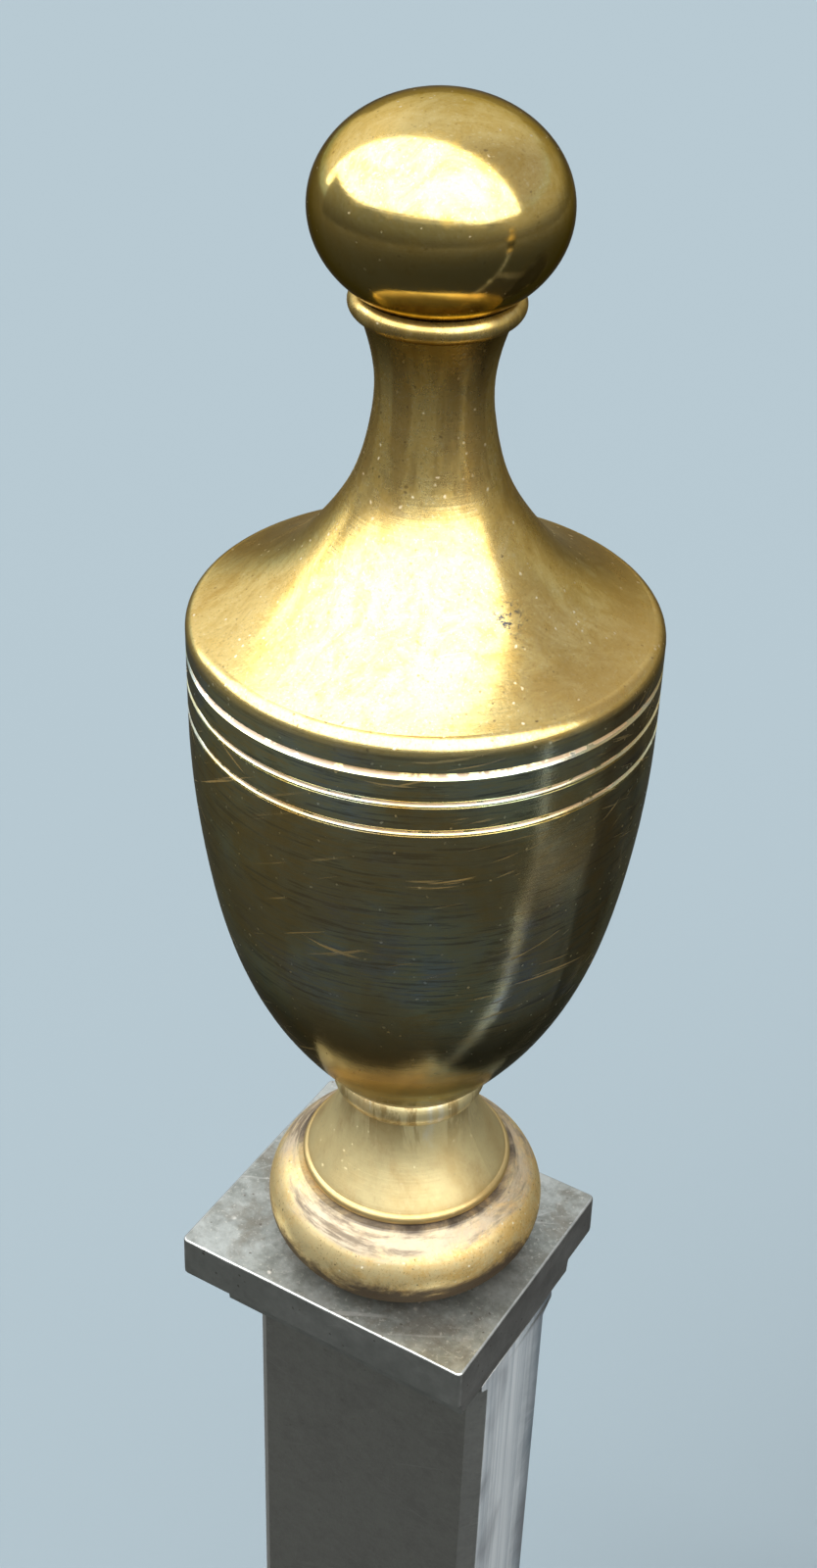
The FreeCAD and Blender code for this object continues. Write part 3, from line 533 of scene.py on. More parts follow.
def end_steel(parts, rough, strength, pits=0.8):
    """Scratches and pits over a steel's colour, and a faint relief."""
    tree, shader = parts["tree"], parts["shader"]
    tint(parts, times(tree, scratches(tree), 0.35), STEEL_SCRATCH)
    tint(parts, times(tree, specks(tree, 800.0, 0.10, 0.28), pits), PIT)
    tree.links.new(parts["colour"], shader.inputs["Base Color"])
    tree.links.new(rough, shader.inputs["Roughness"])
    relief(tree, shader, parts["tone"], strength, STEEL_RELIEF)
    return parts["material"]


def make_bar_steel(name, light, dark):
    parts = start_steel(name)
    tree = parts["tree"]
    parts["colour"] = blended(tree, span(tree, parts["tone"], 0.70, 1.10), light, dark)
    rust = span(tree, noise(tree, 120.0, 6.0, 0.7), 0.64, 0.74)
    tint(parts, times(tree, rust, 0.4), STEEL_RUST)
    return end_steel(parts, span(tree, parts["clouds"], 0.3, 0.7, 0.33, 0.46), 0.22)


bar_steel = make_bar_steel("bar_steel", (0.28, 0.275, 0.27, 1), (0.14, 0.135, 0.13, 1))
fixing_steel = make_bar_steel("fixing_steel", (0.40, 0.39, 0.37, 1), (0.20, 0.19, 0.18, 1))
print("made", bar_steel.name, fixing_steel.name)

# %% [markdown]
# ## Post steel
# The post's front was blacked and then rubbed. Its sides were left as the bar was drawn, with fine
# streaks along the length and a few smudges. Their near-white colour is partly plain drawn steel and
# partly a painted reflection, which goes over to a painted dark reflection at the back edge.
# Front and sides could be faces with finishes of their own; here the direction of the surface
# tells them apart, so the chamfers between them fade from one to the other.

# %% Post steel
RUBBED_FRONT, BLACKED_FRONT = (0.74, 0.74, 0.72, 1), (0.46, 0.46, 0.45, 1)
BRIGHT_SIDE, GREY_SIDE = (0.96, 0.97, 0.98, 1), (0.66, 0.69, 0.72, 1)
PAINTED_BACK_REFLECTION = (0.20, 0.24, 0.28, 1)
SMUDGE = (0.26, 0.26, 0.28, 1)
SIDE_METALLIC = 0.30


def make_post_steel():
    parts = start_steel("post_steel")
    tree, tone = parts["tree"], parts["tone"]
    # The sides' near-white colour is partly plain drawn steel and partly a painted reflection of the bright
    # room.
    bare_and_sheen = span(tree, maths(tree, "ABSOLUTE", axis_of(tree, "Normal", "X"), 0.0), 0.62, 0.98)
    front = blended(tree, span(tree, tone, 0.66, 1.14), RUBBED_FRONT, BLACKED_FRONT)
    drawn = noise(tree, 1.0, 4.0, 0.6, stretch=(900, 900, 9))
    side = blended(tree, span(tree, drawn, 0.34, 0.66), BRIGHT_SIDE, GREY_SIDE)
    low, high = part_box("left_post")
    middle = (low[1] + high[1]) / 2
    # Painted reflection: towards the back edge the sides go over to a dark blue grey.
    deep = plus(tree, axis_of(tree, "Object", "Y"), swing(tree, parts["clouds"], 0.010))
    side = blended(tree, span(tree, deep, middle + 0.0010, middle + 0.0120), side, PAINTED_BACK_REFLECTION)
    smudges = noise(tree, 62.0, 4.0, 0.5, 0.3, stretch=(1, 1, 0.55))
    side = blended(tree, span(tree, smudges, 0.53, 0.74, 0.0, 0.8), side, SMUDGE)
    parts["colour"] = blended(tree, bare_and_sheen, front, side)
    tree.links.new(span(tree, bare_and_sheen, 0.0, 1.0, 1.0, SIDE_METALLIC), parts["shader"].inputs["Metallic"])
    rough = plus(tree, span(tree, tone, 0.7, 1.1, 0.31, 0.38), times(tree, bare_and_sheen, 0.08))
    return end_steel(parts, rough, 0.07, pits=0.25)


post_steel = make_post_steel()
print("made", post_steel.name)

# %% [markdown]
# ## Cap steel
# The top of a cap lies flat and catches dust and damp, so it is mottled, browned and gritty. Its
# edges are handled and stay plain. The direction of the surface tells the two apart, as on the
# post. The rubbed rim gets a lighter steel of its own.

# %% Cap steel
CAP_EDGE_LIGHT, CAP_EDGE_DARK = (0.72, 0.74, 0.74, 1), (0.56, 0.58, 0.58, 1)
CAP_TOP_LIGHT, CAP_TOP_DARK = (0.62, 0.66, 0.65, 1), (0.31, 0.33, 0.31, 1)
CAP_BROWN = (0.26, 0.23, 0.18, 1)
CAP_GRIT = (0.78, 0.78, 0.74, 1)
CAP_FLECK = (0.95, 0.93, 0.88, 1)


def make_cap_steel():
    parts = start_steel("cap_steel")
    tree, tone = parts["tree"], parts["tone"]
    upward = span(tree, axis_of(tree, "Normal", "Z"), 0.6, 0.95)
    edge = blended(tree, span(tree, tone, 0.70, 1.10), CAP_EDGE_LIGHT, CAP_EDGE_DARK)
    top = blended(tree, span(tree, tone, 0.66, 1.10), CAP_TOP_LIGHT, CAP_TOP_DARK)
    brown = span(tree, noise(tree, 75.0, 5.0, 0.65, 0.4), 0.50, 0.66)
    top = blended(tree, times(tree, brown, 0.55), top, CAP_BROWN)
    grit = noise(tree, 1100.0, 3.0, 0.7)
    top = blended(tree, span(tree, grit, 0.56, 0.68, 0.0, 0.5), top, CAP_GRIT)
    top = blended(tree, specks(tree, 480.0, 0.05, 0.28), top, CAP_FLECK)
    parts["colour"] = blended(tree, upward, edge, top)
    rough = plus(tree, span(tree, parts["clouds"], 0.3, 0.7, 0.28, 0.40), times(tree, upward, 0.12))
    return end_steel(parts, rough, 0.30)


cap_steel = make_cap_steel()
worn_edge = make_bar_steel("worn_edge", (0.66, 0.69, 0.69, 1), (0.42, 0.44, 0.44, 1))
print("made", cap_steel.name, worn_edge.name)

# %% [markdown]
# ## Cast iron
# The back plate, the grate and the bearer are cast, blackened and a little rusty. The skin of a
# casting is grainy. Modelled grain would need millions of faces, so a fine noise drives the bump,
# and rust shows in patches.

# %% Cast iron
IRON_BLACK, IRON_GREY = (0.060, 0.058, 0.056, 1), (0.092, 0.087, 0.082, 1)
IRON_RUST = (0.15, 0.078, 0.046, 1)
IRON_METALLIC, IRON_RELIEF = 0.55, 0.0006


def make_cast_iron():
    material, tree, shader = start_material("cast_iron", IRON_METALLIC)
    clouds = noise(tree, 38.0, 8.0, 0.68)
    grain = noise(tree, 520.0, 4.0, 0.6)
    colour = blended(tree, span(tree, clouds, 0.3, 0.7), IRON_BLACK, IRON_GREY)
    rust = span(tree, noise(tree, 95.0, 6.0, 0.65), 0.60, 0.72)
    colour = blended(tree, times(tree, rust, 0.4), colour, IRON_RUST)
    tree.links.new(colour, shader.inputs["Base Color"])
    tree.links.new(span(tree, grain, 0.3, 0.7, 0.48, 0.70), shader.inputs["Roughness"])
    relief(tree, shader, plus(tree, grain, clouds), 0.35, IRON_RELIEF)
    return material


cast_iron = make_cast_iron()
print("made", cast_iron.name)

# %% [markdown]
# ## Finishes on the solids
# The record gives each solid a slot named after its metal, so one finish for each slot covers
# them all. A few pieces then get a finish of their own: balls, rings, plinths and the rivets.

# %% Finishes on the solids
finish_of = {"cast_iron": cast_iron, "polished_steel": bar_steel, "fixing_steel": fixing_steel,
             "aged_brass": urn_brass}
for entry in frame["record"]["subparts"]:
    mesh = nodes[entry["node"]].data
    mesh.materials.clear()
    mesh.materials.append(finish_of[entry["material_slot"]])
for side in ("left_", "right_"):
    nodes[side + "urn_ball"].data.materials[0] = ball_brass
    nodes[side + "foot_ring"].data.materials[0] = foot_brass
    nodes[side + "plinth"].data.materials[0] = cap_steel
nodes["apron_rivets"].data.materials[0] = ball_brass

# %% [markdown]
# ## Keeping a piece
# A new piece stands for one of the solids, rides with its body and takes the finishes that it is
# given. Weighted normals keep the flats flat beside rounded edges.

# %% Keep a piece
MERGE = 1e-6
SHARP = math.radians(50)
CM3_PER_M3 = 1e6


def in_scene(name, bm):
    """Makes an object of a bmesh."""
    mesh = bpy.data.meshes.new(name)
    bm.to_mesh(mesh)
    bm.free()
    thing = bpy.data.objects.new(name, mesh)
    bpy.context.scene.collection.objects.link(thing)
    return thing


def keep(name, bm, materials, *replaced, body="basket"):
    """Turns a bmesh into a piece that stands for its solids."""
    bmesh.ops.dissolve_degenerate(bm, dist=MERGE, edges=bm.edges)
    size = bm.calc_volume() * CM3_PER_M3
    piece = in_scene(name, bm)
    mesh = piece.data
    for material in materials:
        mesh.materials.append(material)
    mesh.shade_smooth()
    mesh.set_sharp_from_angle(angle=SHARP)
    weighted = piece.modifiers.new("weighted", "WEIGHTED_NORMAL")
    weighted.keep_sharp = True
    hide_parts(*replaced)
    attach(piece, body)
    print("%s: %d faces, %.1f cm3" % (name, len(mesh.polygons), size))


print("ready to keep pieces")

# %% [markdown]
# ## Small helpers for shapes
# Merging, rounding and trimming come back for many pieces. A modifier treats a whole mesh alike,
# and here only chosen edges are wanted, so each step is a bmesh operator with its settings.

# %% Shape helpers
ROUND_STEPS, ROUND_PROFILE = 3, 0.5


def edges_in(geom):
    return [g for g in geom if isinstance(g, bmesh.types.BMEdge)]


def verts_in(geom):
    return [g for g in geom if isinstance(g, bmesh.types.BMVert)]


def merged(node, flat):
    """A copy of a solid with its points merged and its flats joined, up to an angle in degrees."""
    bm = bmesh.new()
    bm.from_mesh(nodes[node].data)
    bmesh.ops.remove_doubles(bm, verts=bm.verts, dist=MERGE)
    bmesh.ops.dissolve_limit(bm, angle_limit=math.radians(flat), verts=bm.verts, edges=bm.edges)
    return bm


def round_over(bm, edges, width):
    """Rounds edges, and gives the new faces."""
    return bmesh.ops.bevel(bm, geom=edges, offset=width, offset_type="OFFSET", affect="EDGES",
                           segments=ROUND_STEPS, profile=ROUND_PROFILE, material=-1,
                           clamp_overlap=True)["faces"]


def trim(bm, point, outward):
    """Cuts off what lies outside a plane, and gives the edges along the cut."""
    cut = bmesh.ops.bisect_plane(bm, geom=[*bm.verts, *bm.edges, *bm.faces], plane_co=point,
                                 plane_no=outward, clear_outer=True)
    return edges_in(cut["geom_cut"])


print("shape helpers ready")

# %% [markdown]
# ## Eased edges
# No edge on a handled steel bar is sharp. The posts, bars, rails and legs have the right shape
# already, with their sockets and rivet holes, so a copy of each is merged, its flats are joined,
# and only its long edges are rounded over. A bevel modifier would round the holes as well.

# %% Bars, rails, legs and posts with eased edges
BAR_EASE, RAIL_EASE, POST_EASE, BEARER_EASE, NUT_EASE = 0.0004, 0.0006, 0.0004, 0.0008, 0.0005
LONG_EDGE, NUT_EDGE, SHARP_EDGE = 0.006, 0.005, math.radians(35)


def eased(node, width, shortest=LONG_EDGE):
    """A copy of a solid with its long sharp edges rounded."""
    bm = merged(node, 0.5)
    long = [e for e in bm.edges if e.calc_length() > shortest and e.calc_face_angle(0) > SHARP_EDGE]
    round_over(bm, long, width)
    return bm


bar_names = [n for n in nodes if "front_bar" in n or "side_bar" in n]
for node in sorted(bar_names):
    keep("eased_" + node, eased(node, BAR_EASE), [bar_steel], node)
for node in ("front_rail", "apron", "left_rear_leg", "right_rear_leg"):
    keep("eased_" + node, eased(node, RAIL_EASE), [bar_steel], node)
for node in ("left_post", "right_post"):
    keep("eased_" + node, eased(node, POST_EASE), [post_steel], node)
keep("eased_rear_bearer", eased("rear_bearer", BEARER_EASE), [cast_iron], "rear_bearer")
keep("eased_back_plate_nuts", eased("back_plate_nuts", NUT_EASE, NUT_EDGE), [fixing_steel],
     "back_plate_nuts")

# %% [markdown]
# ## Closed lines to bridge
# A plate with a round hole can be cut or bridged. A cut leaves long thin faces round the hole,
# while bridging two closed lines gives clean strips. The oblong and the hole get the same number
# of points, so each point pairs with one. The right post's pieces are mirrored from the left's.

# %% Closed lines
SIDE_CUTS = 5
HOLE_POINTS, HOLE_RADIUS = 4 * (SIDE_CUTS + 1), 0.0055


def oblong(bm, low, high, z):
    """A closed line of four sides at one height, each side cut into equal lengths."""
    corners = ((low.x, low.y), (high.x, low.y), (high.x, high.y), (low.x, high.y))
    verts = [bm.verts.new((x, y, z)) for x, y in corners]
    sides = [bm.edges.new(pair) for pair in zip(verts, verts[1:] + verts[:1])]
    made = bmesh.ops.subdivide_edges(bm, edges=sides, cuts=SIDE_CUTS)
    return list(set(edges_in(made["geom"])) | {e for e in sides if e.is_valid})


def stud_hole(bm, centre, z):
    """A round line for the stud's hole, with as many points as the oblong has."""
    place = Matrix.Translation((centre.x, centre.y, z)) @ Matrix.Rotation(math.radians(45), 4, "Z")
    verts = bmesh.ops.create_circle(bm, segments=HOLE_POINTS, radius=HOLE_RADIUS, matrix=place)["verts"]
    return list({e for v in verts for e in v.link_edges})


def bridge_all(bm, rings):
    for first, second in zip(rings, rings[1:]):
        bmesh.ops.bridge_loops(bm, edges=first + second)
    bmesh.ops.recalc_face_normals(bm, faces=bm.faces)


def other_side(bm):
    """The same piece for the right post: mirrored, and its faces turned outward again."""
    bmesh.ops.scale(bm, vec=(-1, 1, 1), verts=bm.verts)
    bmesh.ops.recalc_face_normals(bm, faces=bm.faces)
    return bm


stud_box = [Vector(corner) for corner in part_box("left_stud")]
stud_axis = (stud_box[0] + stud_box[1]) / 2
print("lines go round", [round(c, 4) for c in stud_axis])

# %% [markdown]
# ## Cap plates
# Each post ends in a plate of steel under the finial. Its top edge is rubbed bright and is no
# longer quite straight. The plate is bridged from four lines, two round the outside and two round
# the stud's hole. Its corners are rounded, its top edge is moved a little by a noise, and then
# top and bottom edges are rounded. The faces of the top edge take a brighter finish.

# %% Cap plates
CORNER_ROUND, TOP_ROUND, BOTTOM_ROUND = 0.0010, 0.0008, 0.0013
DENT, DENT_SCALE = 0.0003, 130
CORNER_HEIGHT, CORNER_ANGLE, LEVEL, HOLE_REACH = 0.004, 1, 1e-4, 0.012


def corner_edges(bm):
    """The upright edges at the four corners."""
    return [e for e in bm.edges if abs(e.verts[0].co.z - e.verts[1].co.z) > CORNER_HEIGHT and
            e.calc_face_angle(0) > CORNER_ANGLE]


def rim_edges(bm, z):
    """The edges round the outside at one height."""
    return [e for e in bm.edges if e.calc_face_angle(0) > CORNER_ANGLE and
            all(abs(v.co.z - z) < LEVEL and (v.co - stud_axis).to_2d().length > HOLE_REACH
                for v in e.verts)]


def make_cap_plate():
    low, high = [Vector(corner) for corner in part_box("left_cap_plate")]
    bm = bmesh.new()
    top, bottom = oblong(bm, low, high, high.z), oblong(bm, low, high, low.z)
    over, under = stud_hole(bm, stud_axis, high.z), stud_hole(bm, stud_axis, low.z)
    bridge_all(bm, [top, over, under, bottom, top])
    round_over(bm, corner_edges(bm), CORNER_ROUND)
    for vert in {v for e in rim_edges(bm, high.z) for v in e.verts}:
        dent = abs(ripple.noise(vert.co * DENT_SCALE)) * DENT
        vert.co += (stud_axis - vert.co).to_2d().normalized().to_3d() * dent
    for face in round_over(bm, rim_edges(bm, high.z), TOP_ROUND):
        face.material_index = 1
    round_over(bm, rim_edges(bm, low.z), BOTTOM_ROUND)
    return bm


keep("left_cap_top", make_cap_plate(), [cap_steel, worn_edge], "left_cap_plate")
keep("right_cap_top", other_side(make_cap_plate()), [cap_steel, worn_edge], "right_cap_plate")

# %% [markdown]
# ## Mouldings
# Under each plate the post swells out in a hollow curve. A real one is planed or forged; here
# eleven oblongs, each a little wider than the one below, are bridged into the moulding. Their
# growth follows the first 75 degrees of a circle.

# %% Mouldings
OUTER_SPREAD, INNER_SPREAD, DEPTH_SPREAD = 0.0050, 0.0006, 0.0036
COVE_END, COVE_STEPS = math.radians(75), 10


def make_moulding():
    low, high = [Vector(corner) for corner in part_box("left_cap_moulding")]
    bm = bmesh.new()
    rings = [stud_hole(bm, stud_axis, low.z)]
    for step in range(COVE_STEPS + 1):
        angle = COVE_END * step / COVE_STEPS
        short = 1 - (1 - math.cos(angle)) / (1 - math.cos(COVE_END))
        near_corner = low + Vector((OUTER_SPREAD, DEPTH_SPREAD, 0)) * short
        far_corner = high - Vector((INNER_SPREAD, DEPTH_SPREAD, 0)) * short
        z = low.z + (high.z - low.z) * math.sin(angle) / math.sin(COVE_END)
        rings.append(oblong(bm, near_corner, far_corner, z))
    rings.append(stud_hole(bm, stud_axis, high.z))
    bridge_all(bm, rings + rings[:1])
    return bm


keep("left_cap_cove", make_moulding(), [cap_steel], "left_cap_moulding")
keep("right_cap_cove", other_side(make_moulding()), [cap_steel], "right_cap_moulding")

# %% [markdown]
# ## Threaded studs
# The finial screws onto a stud in the post. One tooth of the thread, three points, is spun round
# the axis and raised by one pitch each turn, which winds the whole thread. Two planes trim the
# ends square.

# %% Studs
PITCH, TOOTH, STEPS = 0.0015, 0.0006, 32
SPARE_TURNS = 2


def make_thread(side):
    low, high = [Vector(corner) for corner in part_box(side + "stud")]
    centre, radius = (low + high) / 2, (high.x - low.x) / 2
    bm = bmesh.new()
    tooth = ((radius - TOOTH, 0), (radius, PITCH / 2), (radius - TOOTH, PITCH))
    start = low.z - SPARE_TURNS * PITCH
    verts = [bm.verts.new((centre.x + r, centre.y, start + z)) for r, z in tooth]
    edges = [bm.edges.new(pair) for pair in zip(verts, verts[1:])]
    turns = int((high.z - low.z) / PITCH) + 2 * SPARE_TURNS
    bmesh.ops.spin(bm, geom=verts + edges, cent=(centre.x, centre.y, 0), axis=(0, 0, 1),
                   dvec=(0, 0, PITCH / STEPS), angle=math.tau * turns, steps=STEPS * turns)
    bmesh.ops.remove_doubles(bm, verts=bm.verts, dist=MERGE)
    for z, way in ((low.z, -1), (high.z, 1)):
        bmesh.ops.contextual_create(bm, geom=trim(bm, (0, 0, z), (0, 0, way)))
    bmesh.ops.recalc_face_normals(bm, faces=bm.faces)
    return bm


for side in ("left_", "right_"):
    keep(side + "threaded_stud", make_thread(side), [fixing_steel], side + "stud")

# %% [markdown]
# ## The grate
# The grate is a casting: a frame of four flat bars, with fire bars that narrow downward so that
# ash falls through. Each bar starts from four points, is extruded and tapered, and trimmed where
# the frame slants. Only the edges along a bar are rounded, so the joints stay closed.

# %% Grate
GRATE_LOW, GRATE_TOP = 0.084, 0.100
GRATE_FRONT, GRATE_BACK, FRONT_HALF, BACK_HALF = -0.1246, 0.132, 0.204, 0.122
BORDER, BAR_PITCH, BAR_HEAD, BAR_FOOT = 0.014, 0.028, 0.006, 0.004
BARS_EACH_SIDE, CORNER_CUT = 6, 0.005
FRAME_EASE, FIRE_BAR_EASE = 0.0012, 0.0010
SLANT = (FRONT_HALF - BACK_HALF) / (GRATE_BACK - GRATE_FRONT)


def frame_corners(inset):
    front, back = GRATE_FRONT + inset, GRATE_BACK - inset
    wide = FRONT_HALF - inset * (math.sqrt(1 + SLANT * SLANT) + SLANT)
    narrow = wide - (back - front) * SLANT
    return [Vector((-wide, front, GRATE_LOW)), Vector((wide, front, GRATE_LOW)),
            Vector((narrow, back, GRATE_LOW)), Vector((-narrow, back, GRATE_LOW))]


def raised(bm, corners, taper=0.0):
    """A block raised from four corners; a taper widens its top along X."""
    face = bm.faces.new([bm.verts.new(c) for c in corners])
    grown = bmesh.ops.extrude_face_region(bm, geom=[face])["geom"]
    middle = sum((c.x for c in corners), 0.0) / 4
    for vert in verts_in(grown):
        vert.co += Vector((math.copysign(taper, vert.co.x - middle), 0, GRATE_TOP - GRATE_LOW))
    bmesh.ops.recalc_face_normals(bm, faces=bm.faces)


def ease_along(bm, way, width):
    """Rounds the edges that run one way."""
    way = way.normalized()
    round_over(bm, [e for e in bm.edges if
                    abs((e.verts[1].co - e.verts[0].co).normalized().dot(way)) > 0.99], width)


def add_to(whole, part):
    """Joins one bmesh to another by way of a mesh."""
    mesh = bpy.data.meshes.new("grate_part")
    part.to_mesh(mesh)
    part.free()
    whole.from_mesh(mesh)
    bpy.data.meshes.remove(mesh)


def add_frame(whole, outer, inner):
    for i in range(4):
        j = (i + 1) % 4
        along = (outer[j] - outer[i]).normalized()
        part = bmesh.new()
        raised(part, [outer[i] + along * CORNER_CUT, outer[j] - along * CORNER_CUT, inner[j], inner[i]])
        ease_along(part, along, FRAME_EASE)
        add_to(whole, part)


def add_fire_bars(whole, inner):
    front, back = inner[0].y, inner[3].y
    foot = ((-BAR_FOOT, front), (BAR_FOOT, front), (BAR_FOOT, back), (-BAR_FOOT, back))
    for i in range(-BARS_EACH_SIDE, BARS_EACH_SIDE + 1):
        part = bmesh.new()
        raised(part, [Vector((i * BAR_PITCH + dx, y, GRATE_LOW)) for dx, y in foot], BAR_HEAD - BAR_FOOT)
        for sign, corner in ((1, inner[1]), (-1, inner[0])):
            edges = trim(part, corner, Vector((sign, SLANT, 0)).normalized())
            if edges:
                bmesh.ops.contextual_create(part, geom=edges)
        ease_along(part, Vector((0, 1, 0)), FIRE_BAR_EASE)
        add_to(whole, part)


def make_grate():
    whole = bmesh.new()
    outer, inner = frame_corners(0.0), frame_corners(BORDER)
    add_frame(whole, outer, inner)
    add_fire_bars(whole, inner)
    return whole


keep("fire_grate", make_grate(), [cast_iron], "grate", body="grate")

# %% [markdown]
# ## The back plate
# Cast plates usually have a sunk field with a wide border. The solid has the outline and the
# four bolt holes, so a copy of it is merged and an arched block is cut from its front. The block
# is drawn from two corners and an arc that is spun from one point.

# %% Back plate
FIELD_HALF, FIELD_LOW, FIELD_SIDE, FIELD_CROWN, FIELD_DEPTH = 0.113, 0.098, 0.322, 0.368, 0.002
FIELD_STEPS, FIELD_DRAFT, FIELD_EASE = 40, 0.985, 0.0008
CUTTER_FRONT, BORDER_ANGLE, BORDER_LEVEL, BORDER_ROOM = 0.010, 0.6, 1e-5, 0.001


def arched_block(front, back):
    """The shape of the sunk field, a little smaller at its floor as a casting needs."""
    bm = bmesh.new()
    rise = FIELD_CROWN - FIELD_SIDE
    radius = (FIELD_HALF ** 2 + rise ** 2) / (2 * rise)
    start = bm.verts.new((FIELD_HALF, front, FIELD_SIDE))
    bmesh.ops.spin(bm, geom=[start], cent=(0, front, FIELD_CROWN - radius), axis=(0, -1, 0),
                   angle=2 * math.asin(FIELD_HALF / radius), steps=FIELD_STEPS)
    arc = sorted(bm.verts, key=lambda v: -v.co.x)
    low = [bm.verts.new((x, front, FIELD_LOW)) for x in (-FIELD_HALF, FIELD_HALF)]
    face = bm.faces.new(arc + low)
    far = verts_in(bmesh.ops.extrude_face_region(bm, geom=[face])["geom"])
    bmesh.ops.translate(bm, vec=(0, back - front, 0), verts=far)
    middle = Vector((0, back, (FIELD_LOW + FIELD_CROWN) / 2))
    bmesh.ops.scale(bm, vec=(FIELD_DRAFT, 1, FIELD_DRAFT), space=Matrix.Translation(-middle), verts=far)
    bmesh.ops.recalc_face_normals(bm, faces=bm.faces)
    return bm


def make_back_plate():
    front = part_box("back_plate")[0][1]
    plate = in_scene("plate", merged("back_plate", 0.3))
    field = in_scene("field", arched_block(front - CUTTER_FRONT, front + FIELD_DEPTH))
    cut = plate.modifiers.new("field", "BOOLEAN")
    cut.object, cut.operation, cut.solver = field, "DIFFERENCE", "EXACT"
    ready = plate.evaluated_get(bpy.context.evaluated_depsgraph_get())
    bm = bmesh.new()
    bm.from_mesh(ready.to_mesh())
    for thing in (plate, field):
        bpy.data.objects.remove(thing)
    border = [e for e in bm.edges if e.calc_face_angle(0) > BORDER_ANGLE and
              all(abs(v.co.y - front) < BORDER_LEVEL and abs(v.co.x) < FIELD_HALF + BORDER_ROOM
                  for v in e.verts)]
    round_over(bm, border, FIELD_EASE)
    return bm


keep("cast_back_plate", make_back_plate(), [cast_iron], "back_plate")

# %% [markdown]
# ## The studio
# A pale floor runs out to a pale room of the same colour, so no horizon shows. A curved paper
# backdrop would do it too, but it would stand in the way of views from behind.

# %% Floor
FLOOR = (0.455, 0.560, 0.632, 1)
FLOOR_HALF = 30


def staged(name, bm, colour, roughness):
    """A plain thing of the studio, not of the basket."""
    thing = in_scene(name, bm)
    material, _, shader = start_material(name, 0.0)
    shader.inputs["Base Color"].default_value = colour
    shader.inputs["Roughness"].default_value = roughness
    shader.inputs["Specular IOR Level"].default_value = 0.0
    thing.data.materials.append(material)
    return thing


bm = bmesh.new()
bmesh.ops.create_grid(bm, x_segments=1, y_segments=1, size=FLOOR_HALF)
print("laid", staged("floor", bm, FLOOR, 0.9).name)

# %% [markdown]
# ## Cards for the reflections
# Polished metal shows what stands round it more than its own colour. A photographer hangs cards
# for it: here a dark cloth on the floor and a dark screen bent round the front, the right and the
# back. Only reflections see them, so they neither light the basket nor shade the floor. The
# screen is one upright edge, spun part of the way round.

# %% Cloth and screen
REACH, SCREEN_HEIGHT, SCREEN_START, SCREEN_TURN, SCREEN_STEPS = 3.3, 1.55, -84, 318, 80
CLOTH_RADIUS, CLOTH_HEIGHT, CLOTH_POINTS = 28, 0.002, 64
CLOTH_NEAR, CLOTH_FAR = (0.058, 0.062, 0.058, 1), (0.20, 0.195, 0.17, 1)
SCREEN_LOW = (0.20, 0.18, 0.15, 1)
SCREEN_FRONT, SCREEN_BEHIND = (0.36, 0.34, 0.29, 1), (0.60, 0.53, 0.42, 1)


def for_reflections(card):
    card.visible_camera = False
    card.visible_diffuse = False
    card.visible_shadow = False


def direction(azimuth, elevation):
    """A direction from the basket: azimuth from the front to the right, elevation up."""
    a, e = math.radians(azimuth), math.radians(elevation)
    return Vector((math.sin(a) * math.cos(e), -math.cos(a) * math.cos(e), math.sin(e)))


def make_cloth():
    bm = bmesh.new()
    bmesh.ops.create_circle(bm, cap_ends=True, segments=CLOTH_POINTS, radius=CLOTH_RADIUS,
                            matrix=Matrix.Translation((0, 0, CLOTH_HEIGHT)))
    cloth = staged("dark_cloth", bm, CLOTH_NEAR, 1.0)
    for_reflections(cloth)
    tree = cloth.data.materials[0].node_tree
    far = add(tree, "ShaderNodeVectorMath", {0: stretched(tree)}, operation="LENGTH").outputs["Value"]
    colour = blended(tree, span(tree, far, 0.3, REACH), CLOTH_NEAR, CLOTH_FAR)
    tree.links.new(colour, tree.nodes["Principled BSDF"].inputs["Base Color"])
    return cloth


def make_screen():
    bm = bmesh.new()
    start = direction(SCREEN_START, 0) * REACH
    foot, head = bm.verts.new(start), bm.verts.new(start + Vector((0, 0, SCREEN_HEIGHT)))
    bmesh.ops.spin(bm, geom=[foot, head, bm.edges.new((foot, head))], cent=(0, 0, 0), axis=(0, 0, 1),
                   angle=math.radians(SCREEN_TURN), steps=SCREEN_STEPS)
    screen = staged("dark_screen", bm, SCREEN_LOW, 1.0)
    for_reflections(screen)
    tree = screen.data.materials[0].node_tree
    behind = span(tree, axis_of(tree, "Object", "Y"), -1.2, 0.6)
    upper = blended(tree, behind, SCREEN_FRONT, SCREEN_BEHIND)
    colour = blended(tree, span(tree, axis_of(tree, "Object", "Z"), 0.1, 1.1), SCREEN_LOW, upper)
    tree.links.new(colour, tree.nodes["Principled BSDF"].inputs["Base Color"])
    return screen


print("hung", make_cloth().name, "and", make_screen().name)

# %% [markdown]
# ## The sheet of light
# A broad bright sheet above and in front gives the urn its large soft highlight. A flat panel
# would show its corners in the brass, so the sheet is part of a sphere, cut by two planes. It too
# is for reflections only.

# %% Sheet of light
SHEET_AIM, SHEET_LEAN, SHEET_LOW, SHEET_BACK = direction(5, 0), 0.287, 0.216, -0.11
SHEET_RADIUS, SHEET_COLOUR, SHEET_STRENGTH = 6.0, (1.0, 0.99, 0.96, 1), 3.5


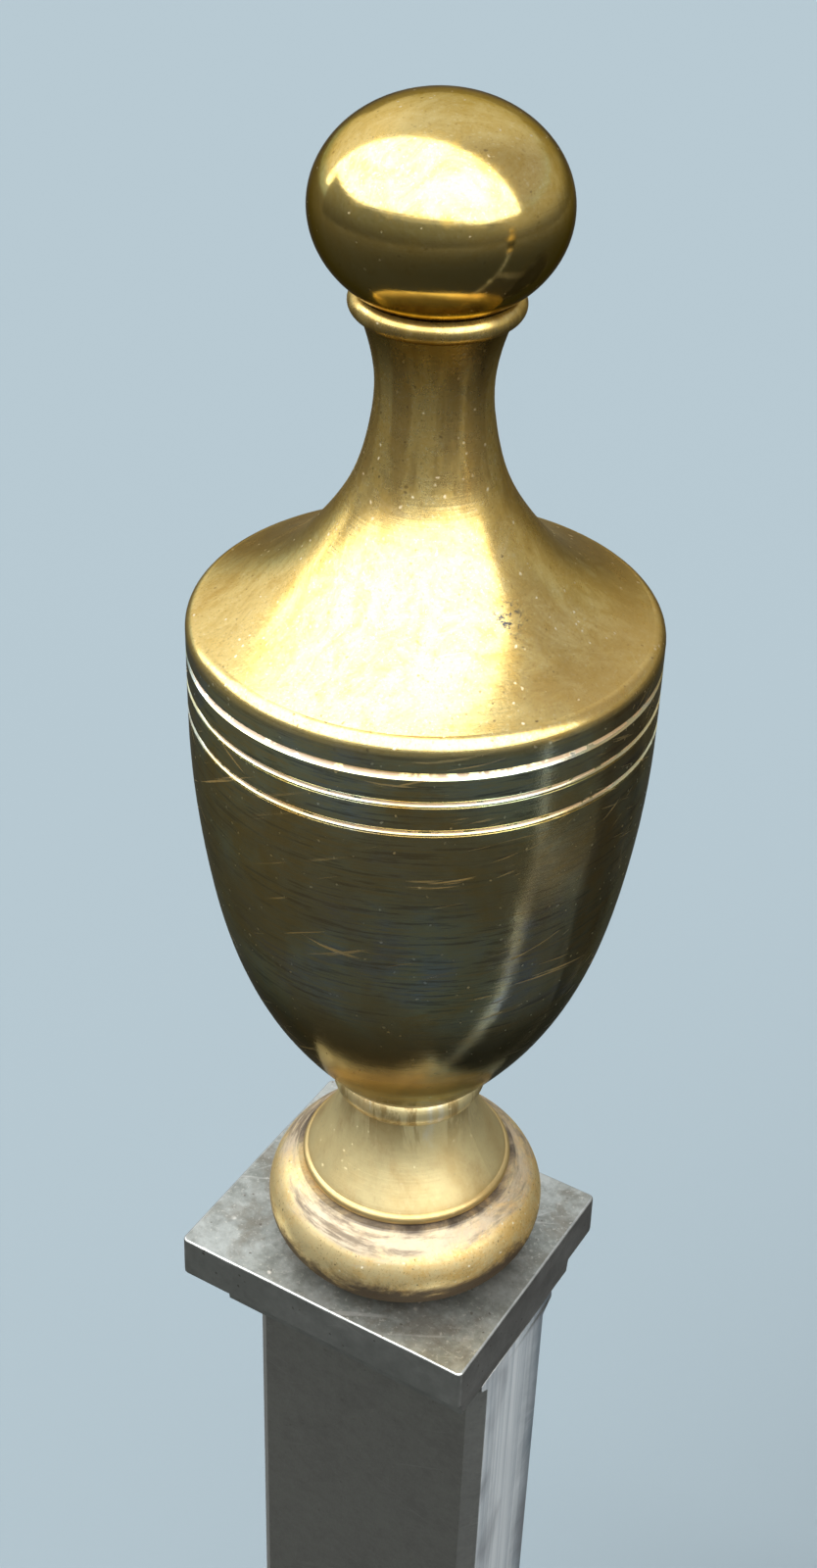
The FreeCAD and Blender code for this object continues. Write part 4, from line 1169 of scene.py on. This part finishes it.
def make_sheet():
    bm = bmesh.new()
    bmesh.ops.create_icosphere(bm, subdivisions=5, radius=SHEET_RADIUS)
    trim(bm, Vector((0, 0, SHEET_LOW * SHEET_RADIUS)), SHEET_AIM * SHEET_LEAN - Vector((0, 0, 1)))
    trim(bm, SHEET_AIM * SHEET_BACK * SHEET_RADIUS, -SHEET_AIM)
    sheet = staged("light_sheet", bm, (0, 0, 0, 1), 1.0)
    for_reflections(sheet)
    shader = sheet.data.materials[0].node_tree.nodes["Principled BSDF"]
    shader.inputs["Emission Color"].default_value = SHEET_COLOUR
    shader.inputs["Emission Strength"].default_value = SHEET_STRENGTH
    return sheet


print("sheet of light:", len(make_sheet().data.polygons), "faces")

# %% [markdown]
# ## Light
# The room itself is the lamp: pale low down, a soft brightness above and in front, and a weaker
# one at the left. It is kept at a level where a colour looks about as it is written. Lamps would
# throw hard shadows, which a softly lit room doesn't have.

# %% Light
BACKDROP = (0.479, 0.591, 0.665, 1)
ROOM = (0.42, 0.41, 0.40, 1)
GLOW = (0.72, 0.73, 0.73, 1)
SIDE_LIGHT = (0.95, 0.93, 0.88, 1)
FRONT_LIGHT = (1.50, 1.49, 1.45, 1)
GLOW_WAY, SIDE_WAY = direction(-140, 38), direction(-100, 18)


def make_world():
    world = bpy.data.worlds.new("studio")
    bpy.context.scene.world = world
    world.use_nodes = True
    tree = world.node_tree
    way = add(tree, "ShaderNodeTexCoord").outputs["Generated"]
    z = add(tree, "ShaderNodeSeparateXYZ", {"Vector": way}).outputs["Z"]

    def towards(aim):
        return add(tree, "ShaderNodeVectorMath", {0: way, 1: aim}, operation="DOT_PRODUCT").outputs["Value"]

    colour = blended(tree, span(tree, z, 0.12, 0.45), BACKDROP, ROOM)
    clear = span(tree, z, 0.03, 0.20)
    colour = blended(tree, times(tree, clear, span(tree, towards(GLOW_WAY), 0.55, 0.90)), colour, GLOW)
    beside = times(tree, clear, span(tree, towards(SIDE_WAY), 0.70, 0.92))
    colour = blended(tree, beside, colour, SIDE_LIGHT)
    ahead = towards(SHEET_AIM)
    above = maths(tree, "SUBTRACT", z, times(tree, ahead, SHEET_LEAN))
    front = times(tree, span(tree, above, 0.16, 0.27), span(tree, ahead, -0.17, -0.05))
    colour = blended(tree, front, colour, FRONT_LIGHT)
    tree.links.new(colour, tree.nodes["Background"].inputs["Color"])
    return world


print("lit by", make_world().name)
